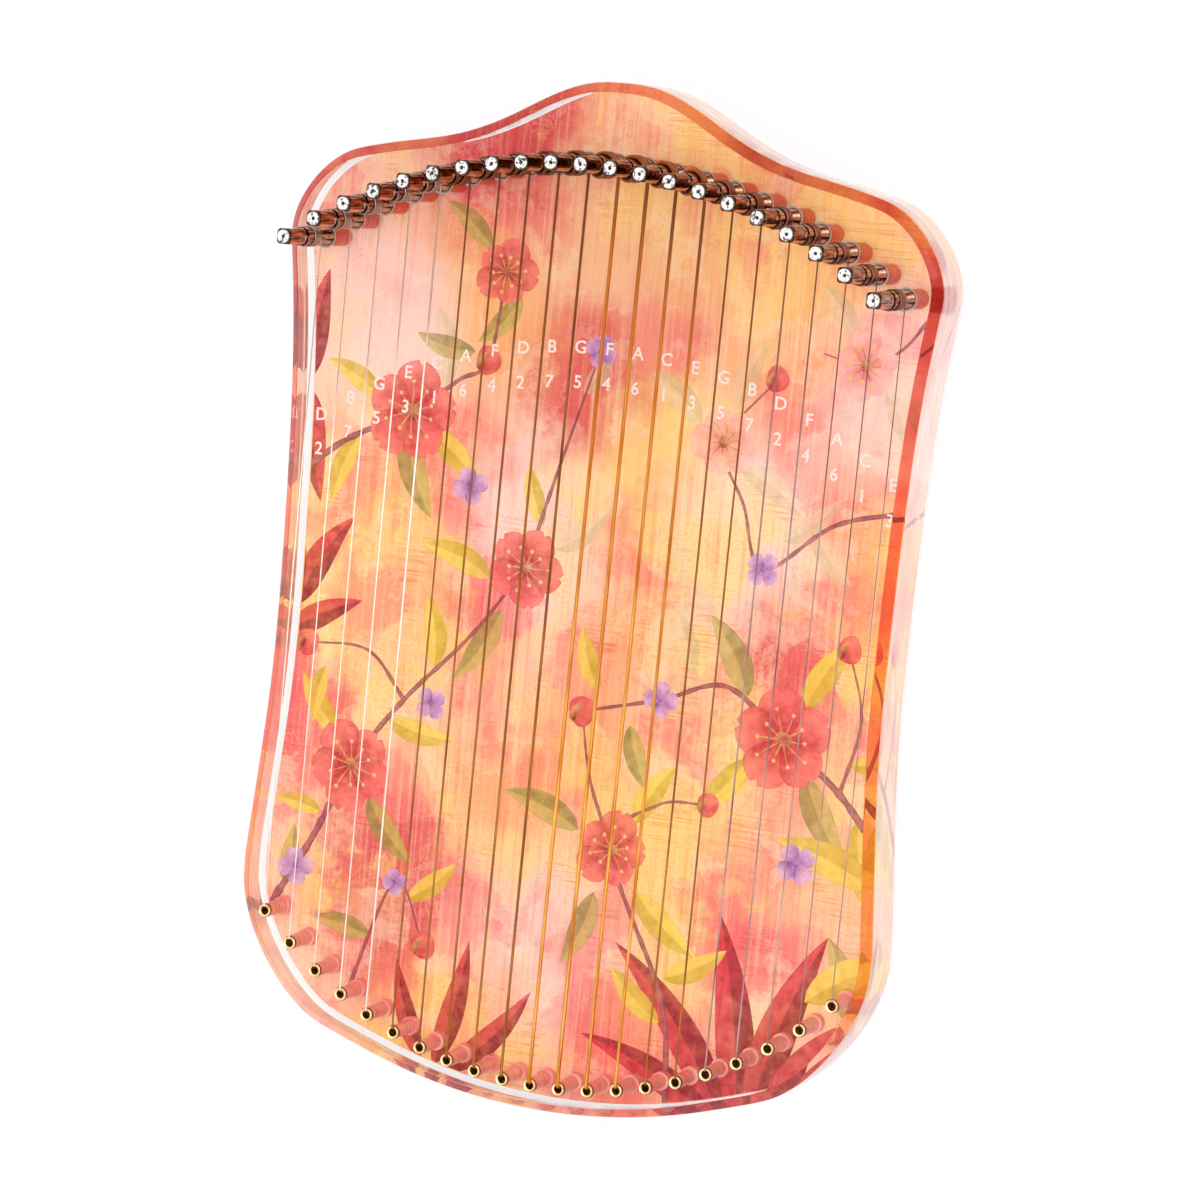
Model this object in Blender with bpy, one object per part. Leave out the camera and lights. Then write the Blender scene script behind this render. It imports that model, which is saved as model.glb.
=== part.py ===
"""A 21-string table harp: clear plate, picture film, tuning pins, strings and feet.

It lies on its feet with the strings up. +Z is up, +Y points from the string holes to the
tuning pins, and the origin is under the middle of the harp, on the table. Metres.
"""

import math

import bmesh
import bpy
import numpy as np
from mathutils import Vector

# Strings, from left to right, and their two rows
STRING_GAUGES = (
    0.00030, 0.00033, 0.00037, 0.00042, 0.00052, 0.00058, 0.00064,
    0.00070, 0.00076, 0.00084, 0.00110, 0.00115, 0.00105, 0.00095,
    0.00064, 0.00058, 0.00050, 0.00044, 0.00038, 0.00034, 0.00030,
)
WOUND_FROM = 0.00055
STRING_PITCH = 0.0082
MIDDLE_STRING_LENGTH = 0.2452
PIN_ROW_DROP = 0.0265
HOLE_ROW_RISE = 0.0348
PIN_ROW_SHIFT = 0.0008

# Plate outline, as margins around the two rows
CROWN_MARGIN = 0.0215
BOTTOM_MARGIN = 0.0070
OGEE_X = 0.0266
OGEE_DROP = 0.0084
SHOULDER_MARGIN = 0.0103
SHOULDER_ABOVE_LAST_PIN = 0.0010
SHOULDER_TOP_INSET = 0.0182
SHOULDER_TOP_RISE = 0.0245
WAIST_MARGIN = 0.0050
WAIST_ABOVE_LAST_HOLE = 0.0770
HIP_MARGIN = 0.0087
HIP_ABOVE_LAST_HOLE = 0.0100
CORNER_INSET = 0.0262
CORNER_MARGIN = 0.0140

# How the outline runs through those points: headings, and arms before and after each
OGEE_HEADING = math.radians(-30.3)
SHOULDER_TOP_HEADING = math.radians(-15.6)
DOWN = math.radians(-90.0)
CORNER_HEADING = math.radians(-160.3)
LEFT = math.radians(-180.0)
CROWN_ARM = 0.0080
OGEE_ARMS = (0.0158, 0.0242)
SHOULDER_TOP_ARMS = (0.0212, 0.0102)
SHOULDER_ARMS = (0.0091, 0.0086)
WAIST_ARMS = (0.0854, 0.0259)
HIP_ARMS = (0.0146, 0.0155)
CORNER_ARMS = (0.0122, 0.0148)
BOTTOM_ARM = 0.0298
OUTLINE_FACET = math.radians(8.0)

# Plate body
PLATE_THICKNESS = 0.0200
FRONT_CHAMFER = 0.0025
BACK_CHAMFER = 0.0016

# Layers under the plate
SEAT_GAP = 0.0003
FILM_THICKNESS = 0.0003
FOOT_HEIGHT = 0.0025
FOOT_RADIUS = 0.0070
FOOT_CHAMFER = 0.0006
FOOT_SIDES = 16
TOP_FOOT_INSET = 0.0120
TOP_FOOT_BELOW_LAST_PIN = 0.0120
BOTTOM_FOOT_INSET = 0.0200
BOTTOM_FOOT_ABOVE_LAST_HOLE = 0.0140

# Tuning pins
PIN_RADIUS = 0.0025
PIN_HEIGHT = 0.0257
PIN_HEAD_FLATS = 0.0041
PIN_HEAD_LENGTH = 0.0086
PIN_SHOULDER_TAPER = 0.0007
PIN_TIP_CHAMFER = 0.0006
PIN_HOLE_FLOOR = 0.0015
PIN_RUNNING_CLEARANCE = 0.00015
PIN_EYE_RADIUS = 0.00065
PIN_EYE_BELOW_HEAD = 0.0014
PIN_SIDES = 12
PIN_EYE_SIDES = 6
CUT_OVERRUN = 0.0030

# String holes, eyelets and ball ends
EYELET_FLANGE_RADIUS = 0.00190
EYELET_FLANGE_THICKNESS = 0.0005
EYELET_TUBE_RADIUS = 0.00155
EYELET_BORE_RADIUS = 0.00120
EYELET_DEPTH = 0.0030
BALL_RADIUS = 0.0021
BALL_HEIGHT = 0.0032
COUNTERBORE_CLEARANCE = 0.0004
COUNTERBORE_DEPTH = 0.0045
HOLE_SIDES = 10
BALL_SIDES = 8

# How the strings run
STRING_RIM_BITE = 0.00008
STRING_RISE_MIDDLE = 0.0058
STRING_RISE_PER_STEP = 0.0002
STRING_PIN_CLEARANCE = 0.0003
WINDING_TURNS = 2.7
WINDING_GAP = 0.00055
WINDING_POINTS_PER_TURN = 8
LEAST_WINDING_GAP = 0.0004

# Worked out from the sizes above
STRING_COUNT = len(STRING_GAUGES)
MIDDLE = (STRING_COUNT - 1) / 2
HALF_SPAN = MIDDLE * STRING_PITCH
PLATE_LENGTH = BOTTOM_MARGIN + MIDDLE_STRING_LENGTH + CROWN_MARGIN
PLATE_BACK = FOOT_HEIGHT + SEAT_GAP + FILM_THICKNESS + SEAT_GAP
PLATE_FRONT = PLATE_BACK + PLATE_THICKNESS
CROWN_Y = PLATE_LENGTH / 2
BOTTOM_Y = -PLATE_LENGTH / 2
PIN_ROW_TOP = CROWN_Y - CROWN_MARGIN
HOLE_ROW_BOTTOM = BOTTOM_Y + BOTTOM_MARGIN
COUNTERBORE_RADIUS = BALL_RADIUS + COUNTERBORE_CLEARANCE
STRING_BORE_RADIUS = EYELET_TUBE_RADIUS + SEAT_GAP


def arc_sag(x, drop):
    """How far a row that drops by drop over HALF_SPAN, along a circle, has dropped at x."""
    radius = (HALF_SPAN**2 + drop**2) / (2 * drop)
    return radius - math.sqrt(radius**2 - x**2)


def string_x(index):
    return (index - MIDDLE) * STRING_PITCH


def pin_x(index):
    """Each pin stands a little to the right of its string hole."""
    return string_x(index) + PIN_ROW_SHIFT


def pin_y(index):
    return PIN_ROW_TOP - arc_sag(string_x(index), PIN_ROW_DROP)


def hole_y(index):
    return HOLE_ROW_BOTTOM + arc_sag(string_x(index), HOLE_ROW_RISE)


def circle_around(radius, sides, clearance=0.0):
    """The corner radius of a polygon whose flats lie clearance outside radius."""
    return (radius + clearance) / math.cos(math.pi / sides)


def clear_scene():
    for obj in list(bpy.data.objects):
        bpy.data.objects.remove(obj, do_unlink=True)


def material(name, color, roughness, metallic=0.0, alpha=1.0, transmission=0.0, ior=1.49):
    made = bpy.data.materials.new(name)
    made.use_nodes = True
    shader = made.node_tree.nodes["Principled BSDF"]
    shader.inputs["Base Color"].default_value = (*color, 1.0)
    shader.inputs["Roughness"].default_value = roughness
    shader.inputs["Metallic"].default_value = metallic
    shader.inputs["Alpha"].default_value = alpha
    shader.inputs["Transmission Weight"].default_value = transmission
    shader.inputs["IOR"].default_value = ior
    return made


def new_object(name, mesh, look=None, location=(0.0, 0.0, 0.0)):
    obj = bpy.data.objects.new(name, mesh)
    obj.location = location
    bpy.context.scene.collection.objects.link(obj)
    if look and not mesh.materials:
        mesh.materials.append(look)
    return obj


def mesh_from(bm, name):
    bmesh.ops.recalc_face_normals(bm, faces=bm.faces[:])
    mesh = bpy.data.meshes.new(name)
    bm.to_mesh(mesh)
    bm.free()
    return mesh


def shade_round(mesh):
    mesh.shade_smooth()
    mesh.set_sharp_from_angle(angle=math.radians(35.0))


def add_rings(bm, rings):
    """Joins rings of equally many points into one closed skin, with a cap at each end."""
    loops = [[bm.verts.new(point) for point in ring] for ring in rings]
    for lower, upper in zip(loops, loops[1:]):
        for i, vert in enumerate(lower):
            following = (i + 1) % len(lower)
            bm.faces.new((vert, lower[following], upper[following], upper[i]))
    bm.faces.new(loops[0][::-1])
    bm.faces.new(loops[-1])


def circle_points(center, radius, z, sides, phase=0.5):
    angles = [2 * math.pi * (i + phase) / sides for i in range(sides)]
    return [(center[0] + radius * math.cos(a), center[1] + radius * math.sin(a), z) for a in angles]


def add_turned(bm, center, profile, sides):
    """A solid turned about the vertical line through center: profile is (radius, z) upwards."""
    add_rings(bm, [circle_points(center, radius, z, sides) for radius, z in profile])


def cutter(name, bm):
    tool = new_object(name, mesh_from(bm, name))
    tool.hide_render = True
    tool.display_type = "WIRE"
    return tool


def cut(obj, tool):
    modifier = obj.modifiers.new("cut_" + tool.name, "BOOLEAN")
    modifier.operation = "DIFFERENCE"
    modifier.object = tool


def applied(obj, name):
    """The mesh of obj with its modifiers applied. The object and its helpers are removed."""
    helpers = [modifier.object for modifier in obj.modifiers if modifier.type == "BOOLEAN"]
    graph = bpy.context.evaluated_depsgraph_get()
    mesh = bpy.data.meshes.new_from_object(obj.evaluated_get(graph))
    mesh.name = name
    for used in [obj, *helpers]:
        bpy.data.objects.remove(used, do_unlink=True)
    return mesh


# Outline of the plate


def outline_knots():
    """The right half, crown to bottom: (point, heading, (arm before it, arm after it))."""
    last_pin_y = pin_y(STRING_COUNT - 1)
    last_hole_y = hole_y(STRING_COUNT - 1)
    shoulder_x = HALF_SPAN + SHOULDER_MARGIN
    shoulder_top = (shoulder_x - SHOULDER_TOP_INSET, last_pin_y + SHOULDER_TOP_RISE)
    waist = (HALF_SPAN + WAIST_MARGIN, last_hole_y + WAIST_ABOVE_LAST_HOLE)
    hip = (HALF_SPAN + HIP_MARGIN, last_hole_y + HIP_ABOVE_LAST_HOLE)
    corner_x = hip[0] - CORNER_INSET
    corner_y = HOLE_ROW_BOTTOM + arc_sag(corner_x, HOLE_ROW_RISE) - CORNER_MARGIN
    return [
        ((0.0, CROWN_Y), 0.0, (0.0, CROWN_ARM)),
        ((OGEE_X, CROWN_Y - OGEE_DROP), OGEE_HEADING, OGEE_ARMS),
        (shoulder_top, SHOULDER_TOP_HEADING, SHOULDER_TOP_ARMS),
        ((shoulder_x, last_pin_y + SHOULDER_ABOVE_LAST_PIN), DOWN, SHOULDER_ARMS),
        (waist, DOWN, WAIST_ARMS),
        (hip, DOWN, HIP_ARMS),
        ((corner_x, corner_y), CORNER_HEADING, CORNER_ARMS),
        ((0.0, BOTTOM_Y), LEFT, (BOTTOM_ARM, 0.0)),
    ]


def heading_vector(angle):
    return np.array((math.cos(angle), math.sin(angle)))


def smooth_stretch(start, end):
    """Points of the cubic curve between two knots, without its last one."""
    (p0, angle0, (_, arm0)), (p3, angle3, (arm3, _)) = start, end
    p0, p3 = np.array(p0), np.array(p3)
    p1 = p0 + arm0 * heading_vector(angle0)
    p2 = p3 - arm3 * heading_vector(angle3)
    sides = [p1 - p0, p2 - p1, p3 - p2]
    bearings = np.unwrap([math.atan2(side[1], side[0]) for side in sides])
    steps = 2 + math.ceil(np.abs(np.diff(bearings)).sum() / OUTLINE_FACET)
    points = []
    for t in np.arange(steps) / steps:
        s = 1 - t
        points.append(s**3 * p0 + 3 * s**2 * t * p1 + 3 * s * t**2 * p2 + t**3 * p3)
    return points


def plate_outline(inset=0.0):
    """The whole outline, drawn in by inset, anticlockwise from above, starting at the bottom."""
    knots = outline_knots()
    right = []
    for start, end in zip(knots, knots[1:]):
        right += smooth_stretch(start, end)
    right.append(np.array(knots[-1][0]))
    left = [point * (-1, 1) for point in right[1:-1]]
    points = np.array(right[::-1] + left)
    along = np.roll(points, -1, axis=0) - np.roll(points, 1, axis=0)
    inward = np.stack([-along[:, 1], along[:, 0]], axis=1)
    return points + inset * inward / np.linalg.norm(inward, axis=1, keepdims=True)


def outline_slab(low, high, inset=0.0):
    bm = bmesh.new()
    bottom = bm.faces.new([bm.verts.new((x, y, low)) for x, y in plate_outline(inset)])
    raised = bmesh.ops.extrude_face_region(bm, geom=[bottom])["geom"]
    top = [part for part in raised if isinstance(part, bmesh.types.BMVert)]
    bmesh.ops.translate(bm, verts=top, vec=(0.0, 0.0, high - low))
    bmesh.ops.recalc_face_normals(bm, faces=bm.faces[:])
    return bm


def bevel_rim(bm, z, width):
    rim = [edge for edge in bm.edges if all(abs(vert.co.z - z) < 1e-6 for vert in edge.verts)]
    bmesh.ops.bevel(bm, geom=rim, offset=width, segments=1, affect="EDGES")


def pin_hole_cutter():
    bm = bmesh.new()
    radius = circle_around(PIN_RADIUS, PIN_SIDES, PIN_RUNNING_CLEARANCE)
    profile = [(radius, PLATE_BACK + PIN_HOLE_FLOOR), (radius, PLATE_FRONT + CUT_OVERRUN)]
    for index in range(STRING_COUNT):
        add_turned(bm, (pin_x(index), pin_y(index)), profile, PIN_SIDES)
    return cutter("pin_holes", bm)


def string_hole_cutter(name):
    """Bore and counterbore of every string hole, open at the front and at the back."""
    bm = bmesh.new()
    floor = PLATE_BACK + COUNTERBORE_DEPTH
    profile = [
        (COUNTERBORE_RADIUS, PLATE_BACK - CUT_OVERRUN),
        (COUNTERBORE_RADIUS, floor),
        (STRING_BORE_RADIUS, floor),
        (STRING_BORE_RADIUS, PLATE_FRONT + CUT_OVERRUN),
    ]
    for index in range(STRING_COUNT):
        add_turned(bm, (string_x(index), hole_y(index)), profile, HOLE_SIDES)
    return cutter(name, bm)


def make_sound_plate():
    look = material("clear_acrylic", (0.97, 0.90, 0.89), 0.03, alpha=0.35, transmission=0.9)
    bm = outline_slab(PLATE_BACK, PLATE_FRONT)
    bevel_rim(bm, PLATE_FRONT, FRONT_CHAMFER)
    bevel_rim(bm, PLATE_BACK, BACK_CHAMFER)
    plate = new_object("sound_plate", mesh_from(bm, "sound_plate"), look)
    cut(plate, pin_hole_cutter())
    cut(plate, string_hole_cutter("string_holes"))
    shade_round(plate.data)


def make_picture_film():
    """The printed film under the plate, as wide as the flat of the plate's back."""
    look = material("picture_film", (0.92, 0.55, 0.45), 0.4)
    top = PLATE_BACK - SEAT_GAP
    bm = outline_slab(top - FILM_THICKNESS, top, inset=BACK_CHAMFER)
    film = new_object("picture_film", mesh_from(bm, "picture_film"), look)
    cut(film, string_hole_cutter("film_holes"))


# Tuning pins


def pin_head_points(z, scale=1.0):
    """A round rod with four flats, at the same angles as the rod's own sides."""
    points = []
    for x, y, _ in circle_points((0.0, 0.0), PIN_RADIUS, z, PIN_SIDES):
        reach = min(1.0, PIN_HEAD_FLATS / 2 / max(abs(x), abs(y)))
        points.append((x * reach * scale, y * reach * scale, z))
    return points


def pin_mesh(look):
    """Rod, squared head and cross hole. The origin is on the axis, at the plate's front."""
    head_bottom = PIN_HEIGHT - PIN_HEAD_LENGTH
    foot = PIN_HOLE_FLOOR + SEAT_GAP - PLATE_THICKNESS
    tip_scale = 1 - PIN_TIP_CHAMFER / PIN_RADIUS
    bm = bmesh.new()
    add_rings(bm, [
        circle_points((0.0, 0.0), PIN_RADIUS, foot, PIN_SIDES),
        circle_points((0.0, 0.0), PIN_RADIUS, head_bottom - PIN_SHOULDER_TAPER, PIN_SIDES),
        pin_head_points(head_bottom),
        pin_head_points(PIN_HEIGHT - PIN_TIP_CHAMFER),
        pin_head_points(PIN_HEIGHT, tip_scale),
    ])
    pin = new_object("pin_blank", mesh_from(bm, "pin_blank"), look)
    eye = bmesh.new()
    reach = PIN_RADIUS + CUT_OVERRUN
    add_turned(eye, (0.0, 0.0), [(PIN_EYE_RADIUS, -reach), (PIN_EYE_RADIUS, reach)], PIN_EYE_SIDES)
    eye_z = head_bottom - PIN_EYE_BELOW_HEAD
    for vert in eye.verts:
        vert.co = Vector((vert.co.z, vert.co.y, vert.co.x + eye_z))
    cut(pin, cutter("pin_eye", eye))
    mesh = applied(pin, "tuning_pin")
    shade_round(mesh)
    return mesh


def make_tuning_pins():
    mesh = pin_mesh(material("nickel_plate", (0.62, 0.50, 0.45), 0.18, metallic=1.0))
    for index in range(STRING_COUNT):
        place = (pin_x(index), pin_y(index), PLATE_FRONT)
        new_object(f"tuning_pin_{index + 1:02d}", mesh, location=place)


# Strings


def winding_points(index):
    """The turns around the pin, rising from where the string reaches it, and a straight end."""
    gauge = STRING_GAUGES[index]
    radius = PIN_RADIUS + STRING_PIN_CLEARANCE + gauge / 2
    reach = circle_around(radius, WINDING_POINTS_PER_TURN)
    rise = gauge + WINDING_GAP
    low = PLATE_FRONT + STRING_RISE_MIDDLE + STRING_RISE_PER_STEP * abs(index - MIDDLE)
    center = Vector((pin_x(index), pin_y(index), low))
    points = []
    for step in range(round(WINDING_TURNS * WINDING_POINTS_PER_TURN) + 1):
        turned = (step + 0.5) / WINDING_POINTS_PER_TURN
        angle = 2 * math.pi * turned
        points.append(center + Vector((reach * math.cos(angle), reach * math.sin(angle), rise * turned)))
    points.append(points[-1] + (points[-1] - points[-2]).normalized() * gauge)
    return points


def rim_point(index):
    """Where the string bends over the eyelet: on its rim, on the side towards the pin."""
    thickness = STRING_GAUGES[index]
    y = hole_y(index) + (EYELET_BORE_RADIUS + EYELET_FLANGE_RADIUS) / 2
    top = PLATE_FRONT + SEAT_GAP + EYELET_FLANGE_THICKNESS
    return Vector((string_x(index), y, top + thickness / 2 - STRING_RIM_BITE))


def string_route(index):
    """From inside the ball end, up the bore, over the rim and on to the turns on the pin."""
    ball_top = PLATE_BACK + COUNTERBORE_DEPTH - SEAT_GAP
    x, y = string_x(index), hole_y(index)
    inside = EYELET_BORE_RADIUS - STRING_GAUGES[index] / 2 - STRING_RIM_BITE
    return [
        Vector((x, y, ball_top - BALL_HEIGHT / 2)),
        Vector((x, y, ball_top + BALL_HEIGHT)),
        Vector((x, y + inside, PLATE_FRONT - EYELET_DEPTH / 2)),
        Vector((x, y + inside, PLATE_FRONT + SEAT_GAP)),
        rim_point(index),
        *winding_points(index),
    ]


def tube_object(name, points, diameter):
    curve = bpy.data.curves.new(name, "CURVE")
    curve.dimensions = "3D"
    curve.bevel_depth = diameter / 2
    curve.bevel_resolution = 0
    curve.use_fill_caps = True
    spline = curve.splines.new("POLY")
    spline.points.add(len(points) - 1)
    for point, place in zip(spline.points, points):
        point.co = (*place, 1.0)
    obj = bpy.data.objects.new(name, curve)
    bpy.context.scene.collection.objects.link(obj)
    return obj


def ball_tool(index):
    bm = bmesh.new()
    top = PLATE_BACK + COUNTERBORE_DEPTH - SEAT_GAP
    profile = [(BALL_RADIUS, top - BALL_HEIGHT), (BALL_RADIUS, top)]
    add_turned(bm, (string_x(index), hole_y(index)), profile, BALL_SIDES)
    return cutter("ball_end", bm)


def eyelet_tool(index):
    """A flanged tube: an outer skin and an inner one, closed by a ring at each end."""
    bm = bmesh.new()
    flange_low = PLATE_FRONT + SEAT_GAP
    flange_top = flange_low + EYELET_FLANGE_THICKNESS
    bottom = PLATE_FRONT - EYELET_DEPTH
    profile = [
        (EYELET_BORE_RADIUS, bottom),
        (EYELET_TUBE_RADIUS, bottom),
        (EYELET_TUBE_RADIUS, flange_low),
        (EYELET_FLANGE_RADIUS, flange_low),
        (EYELET_FLANGE_RADIUS, flange_top),
        (EYELET_BORE_RADIUS, flange_top),
    ]
    center = (string_x(index), hole_y(index))
    loops = [
        [bm.verts.new(point) for point in circle_points(center, radius, z, HOLE_SIDES)]
        for radius, z in profile
    ]
    for lower, upper in zip(loops, loops[1:] + loops[:1]):
        for i, vert in enumerate(lower):
            following = (i + 1) % HOLE_SIDES
            bm.faces.new((vert, lower[following], upper[following], upper[i]))
    return cutter("eyelet", bm)


def make_string(index, look):
    name = f"string_{index + 1:02d}"
    tube = tube_object(name + "_tube", string_route(index), STRING_GAUGES[index])
    blank = new_object(name + "_blank", applied(tube, name + "_blank"), look)
    for tool in (ball_tool(index), eyelet_tool(index)):
        joining = blank.modifiers.new("join_" + tool.name, "BOOLEAN")
        joining.operation = "UNION"
        joining.object = tool
    mesh = applied(blank, name)
    mesh.materials.clear()
    shade_round(mesh)
    new_object(name, mesh, look)


def least_turn_gap():
    """The least distance between two turns of a winding, less the string's own thickness."""
    least = math.inf
    for index in range(STRING_COUNT):
        points = np.array(winding_points(index))
        for first in range(len(points)):
            later = points[first + WINDING_POINTS_PER_TURN // 2:]
            if len(later):
                between = np.linalg.norm(later - points[first], axis=1).min()
                least = min(least, between - STRING_GAUGES[index])
    return least


def make_strings():
    plain = material("plain_steel", (0.66, 0.64, 0.62), 0.22, metallic=1.0)
    wound = material("wound_bronze", (0.72, 0.47, 0.20), 0.30, metallic=1.0)
    for index in range(STRING_COUNT):
        make_string(index, wound if STRING_GAUGES[index] > WOUND_FROM else plain)
    gap = least_turn_gap()
    print(f"least gap between turns of a winding: {gap * 1000:.2f} mm")
    if gap < LEAST_WINDING_GAP:
        raise ValueError("two turns of a winding lie too close")


# Feet


def foot_places():
    top_x = HALF_SPAN - TOP_FOOT_INSET
    top_y = pin_y(STRING_COUNT - 1) - TOP_FOOT_BELOW_LAST_PIN
    bottom_x = HALF_SPAN - BOTTOM_FOOT_INSET
    bottom_y = hole_y(STRING_COUNT - 1) + BOTTOM_FOOT_ABOVE_LAST_HOLE
    return {
        "foot_top_left": (-top_x, top_y),
        "foot_top_right": (top_x, top_y),
        "foot_bottom_left": (-bottom_x, bottom_y),
        "foot_bottom_right": (bottom_x, bottom_y),
    }


def make_feet():
    look = material("clear_silicone", (0.82, 0.80, 0.78), 0.45)
    bm = bmesh.new()
    profile = [
        (FOOT_RADIUS - FOOT_CHAMFER, 0.0),
        (FOOT_RADIUS, FOOT_CHAMFER),
        (FOOT_RADIUS, FOOT_HEIGHT),
    ]
    add_turned(bm, (0.0, 0.0), profile, FOOT_SIDES)
    mesh = mesh_from(bm, "foot")
    shade_round(mesh)
    for name, (x, y) in foot_places().items():
        new_object(name, mesh, look, (x, y, 0.0))


def main():
    clear_scene()
    make_sound_plate()
    make_picture_film()
    make_tuning_pins()
    make_strings()
    make_feet()


main()
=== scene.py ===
"""The looks of the table harp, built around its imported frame. Metres."""

import math

import bmesh
import bpy
import numpy as np
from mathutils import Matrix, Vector


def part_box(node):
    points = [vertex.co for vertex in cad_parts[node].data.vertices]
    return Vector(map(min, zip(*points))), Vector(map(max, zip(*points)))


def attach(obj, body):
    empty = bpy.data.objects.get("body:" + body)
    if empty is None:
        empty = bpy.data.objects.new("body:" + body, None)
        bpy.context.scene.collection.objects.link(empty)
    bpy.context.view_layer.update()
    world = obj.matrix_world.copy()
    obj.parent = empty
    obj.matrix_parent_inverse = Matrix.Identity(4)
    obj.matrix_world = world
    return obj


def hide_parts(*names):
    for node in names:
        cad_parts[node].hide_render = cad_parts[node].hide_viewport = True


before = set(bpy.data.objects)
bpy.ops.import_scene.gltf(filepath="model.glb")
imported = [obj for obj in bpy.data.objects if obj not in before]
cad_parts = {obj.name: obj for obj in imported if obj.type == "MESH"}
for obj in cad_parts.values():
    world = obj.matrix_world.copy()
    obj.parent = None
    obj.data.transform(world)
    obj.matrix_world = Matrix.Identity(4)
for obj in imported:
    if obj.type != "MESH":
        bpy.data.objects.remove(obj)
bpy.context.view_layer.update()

# The plate, sized as in the part, and how finely its edges and outline are drawn
PLATE_BACK = 0.0034
PLATE_FRONT = 0.0234
FRONT_CHAMFER = 0.0025
BACK_CHAMFER = 0.0016
EDGE_ROUND = 0.00022
OUTLINE_POINTS = 560

# Holes in the plate
PIN_HOLE_RADIUS = 0.00262
PIN_HOLE_FLOOR = 0.0015
PIN_HOLE_CONE = 0.0008
PIN_HOLE_SINK = 0.00060
PIN_HOLE_SIDES = 40
BORE_RADIUS = 0.00185
COUNTERBORE_RADIUS = 0.0025
COUNTERBORE_DEPTH = 0.0045
BORE_SIDES = 32

# Tuning pins
PIN_RADIUS = 0.0025
PIN_HEIGHT = 0.0257
PIN_HEAD_FLATS = 0.0041
PIN_HEAD_BOTTOM = 0.0171
PIN_FOOT = -0.0182
PIN_SIDES = 48
PIN_DIMPLE_RADIUS = 0.00056
PIN_TIP_RADIUS = 0.00158
THREAD_PITCH = 0.0006
THREAD_DEPTH = 0.00027
THREAD_CREST = 0.00006
THREAD_TOP = 0.0052
GROOVE_LOW = 0.0148
GROOVE_HIGH = 0.0164
GROOVE_DEPTH = 0.0005
PIN_EYE_HEIGHT = 0.0157

# Eyelets, ball ends and strings
EYELET_FLANGE_RADIUS = 0.00190
EYELET_TUBE_RADIUS = 0.00155
EYELET_BORE_RADIUS = 0.00110
EYELET_TOP = 0.0008
EYELET_DEPTH = 0.0030
EYELET_SIDES = 40
BALL_RADIUS = 0.0021
BALL_HEIGHT = 0.0032
BALL_SIDES = 32
STRING_GAUGES = (
    0.00030, 0.00033, 0.00037, 0.00042, 0.00052, 0.00058, 0.00064,
    0.00070, 0.00076, 0.00084, 0.00110, 0.00115, 0.00105, 0.00095,
    0.00064, 0.00058, 0.00050, 0.00044, 0.00038, 0.00034, 0.00030,
)
WOUND_FROM = 0.00055
GOLDEN_FROM = 0.0009
STRING_RISE_MIDDLE = 0.0058
STRING_RISE_PER_STEP = 0.0002
WINDING_HEIGHT = 0.0034
WINDING_CLEARANCE = 0.00003
WINDING_STEPS = 24
WRAP_SPACING = 0.00020
WRAP_DEPTH = 0.00006
WIRE_SIDES = 8

# Picture film
FILM_BONDING = 0.00002
FILM_THICKNESS = 0.0003
FILM_INSET = 0.0017
FILM_TOP = PLATE_BACK + FILM_BONDING

PIN_NAMES = sorted(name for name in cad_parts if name.startswith("tuning_pin_"))
STRING_NAMES = sorted(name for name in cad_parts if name.startswith("string_"))
FEET = sorted(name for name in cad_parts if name.startswith("foot_"))


def node_points(name):
    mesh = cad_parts[name].data
    points = np.zeros(len(mesh.vertices) * 3, np.float32)
    mesh.vertices.foreach_get("co", points)
    return points.reshape(-1, 3).astype(float)


def middle_of(points):
    return (points.min(axis=0) + points.max(axis=0)) / 2


PIN_PLACES = [middle_of(node_points(name))[:2] for name in PIN_NAMES]
HOLE_PLACES = []
for name in STRING_NAMES:
    found = node_points(name)
    HOLE_PLACES.append(middle_of(found[found[:, 2] < PLATE_BACK + COUNTERBORE_DEPTH])[:2])
MIDDLE = (len(STRING_NAMES) - 1) / 2


# Mesh helpers


def added(name, data, place=(0.0, 0.0, 0.0)):
    obj = bpy.data.objects.new(name, data)
    obj.location = place
    bpy.context.scene.collection.objects.link(obj)
    return obj


def mesh_from(bm, name, materials, sharp=30.0):
    """The mesh of bm. With sharp, in degrees, it is shaded smooth apart from sharper edges."""
    mesh = bpy.data.meshes.new(name)
    bm.to_mesh(mesh)
    bm.free()
    for material in materials:
        mesh.materials.append(material)
    if sharp:
        mesh.shade_smooth()
        mesh.set_sharp_from_angle(angle=math.radians(sharp))
    return mesh


def place_piece(mesh, name, node=None, body="harp", place=(0.0, 0.0, 0.0)):
    """A new piece that rides on a body. With node, it stands for that node of the part."""
    obj = added(name, mesh, place)
    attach(obj, body)
    if node:
        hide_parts(node)
    return obj


def piece_from(bm, name, materials, node=None, sharp=30.0):
    return place_piece(mesh_from(bm, name, materials, sharp), name, node)


def outward(bm):
    bmesh.ops.recalc_face_normals(bm, faces=bm.faces[:])


def ring(center, radius, z, sides, phase=0.0):
    angles = [2 * math.pi * (i + phase) / sides for i in range(sides)]
    return [(center[0] + radius * math.cos(a), center[1] + radius * math.sin(a), z) for a in angles]


def bridge(bm, lower, upper, material=0):
    for i in range(len(lower)):
        j = (i + 1) % len(lower)
        bm.faces.new((lower[i], lower[j], upper[j], upper[i])).material_index = material


def skin(bm, rings, material=0, cap_low=False, cap_high=False):
    """Joins closed rings of equally many points; returns the rows of vertices."""
    rows = [[bm.verts.new(point) for point in points] for points in rings]
    for lower, upper in zip(rows, rows[1:]):
        bridge(bm, lower, upper, material)
    if cap_low:
        bm.faces.new(rows[0][::-1]).material_index = material
    if cap_high:
        bm.faces.new(rows[-1]).material_index = material
    return rows


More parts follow.
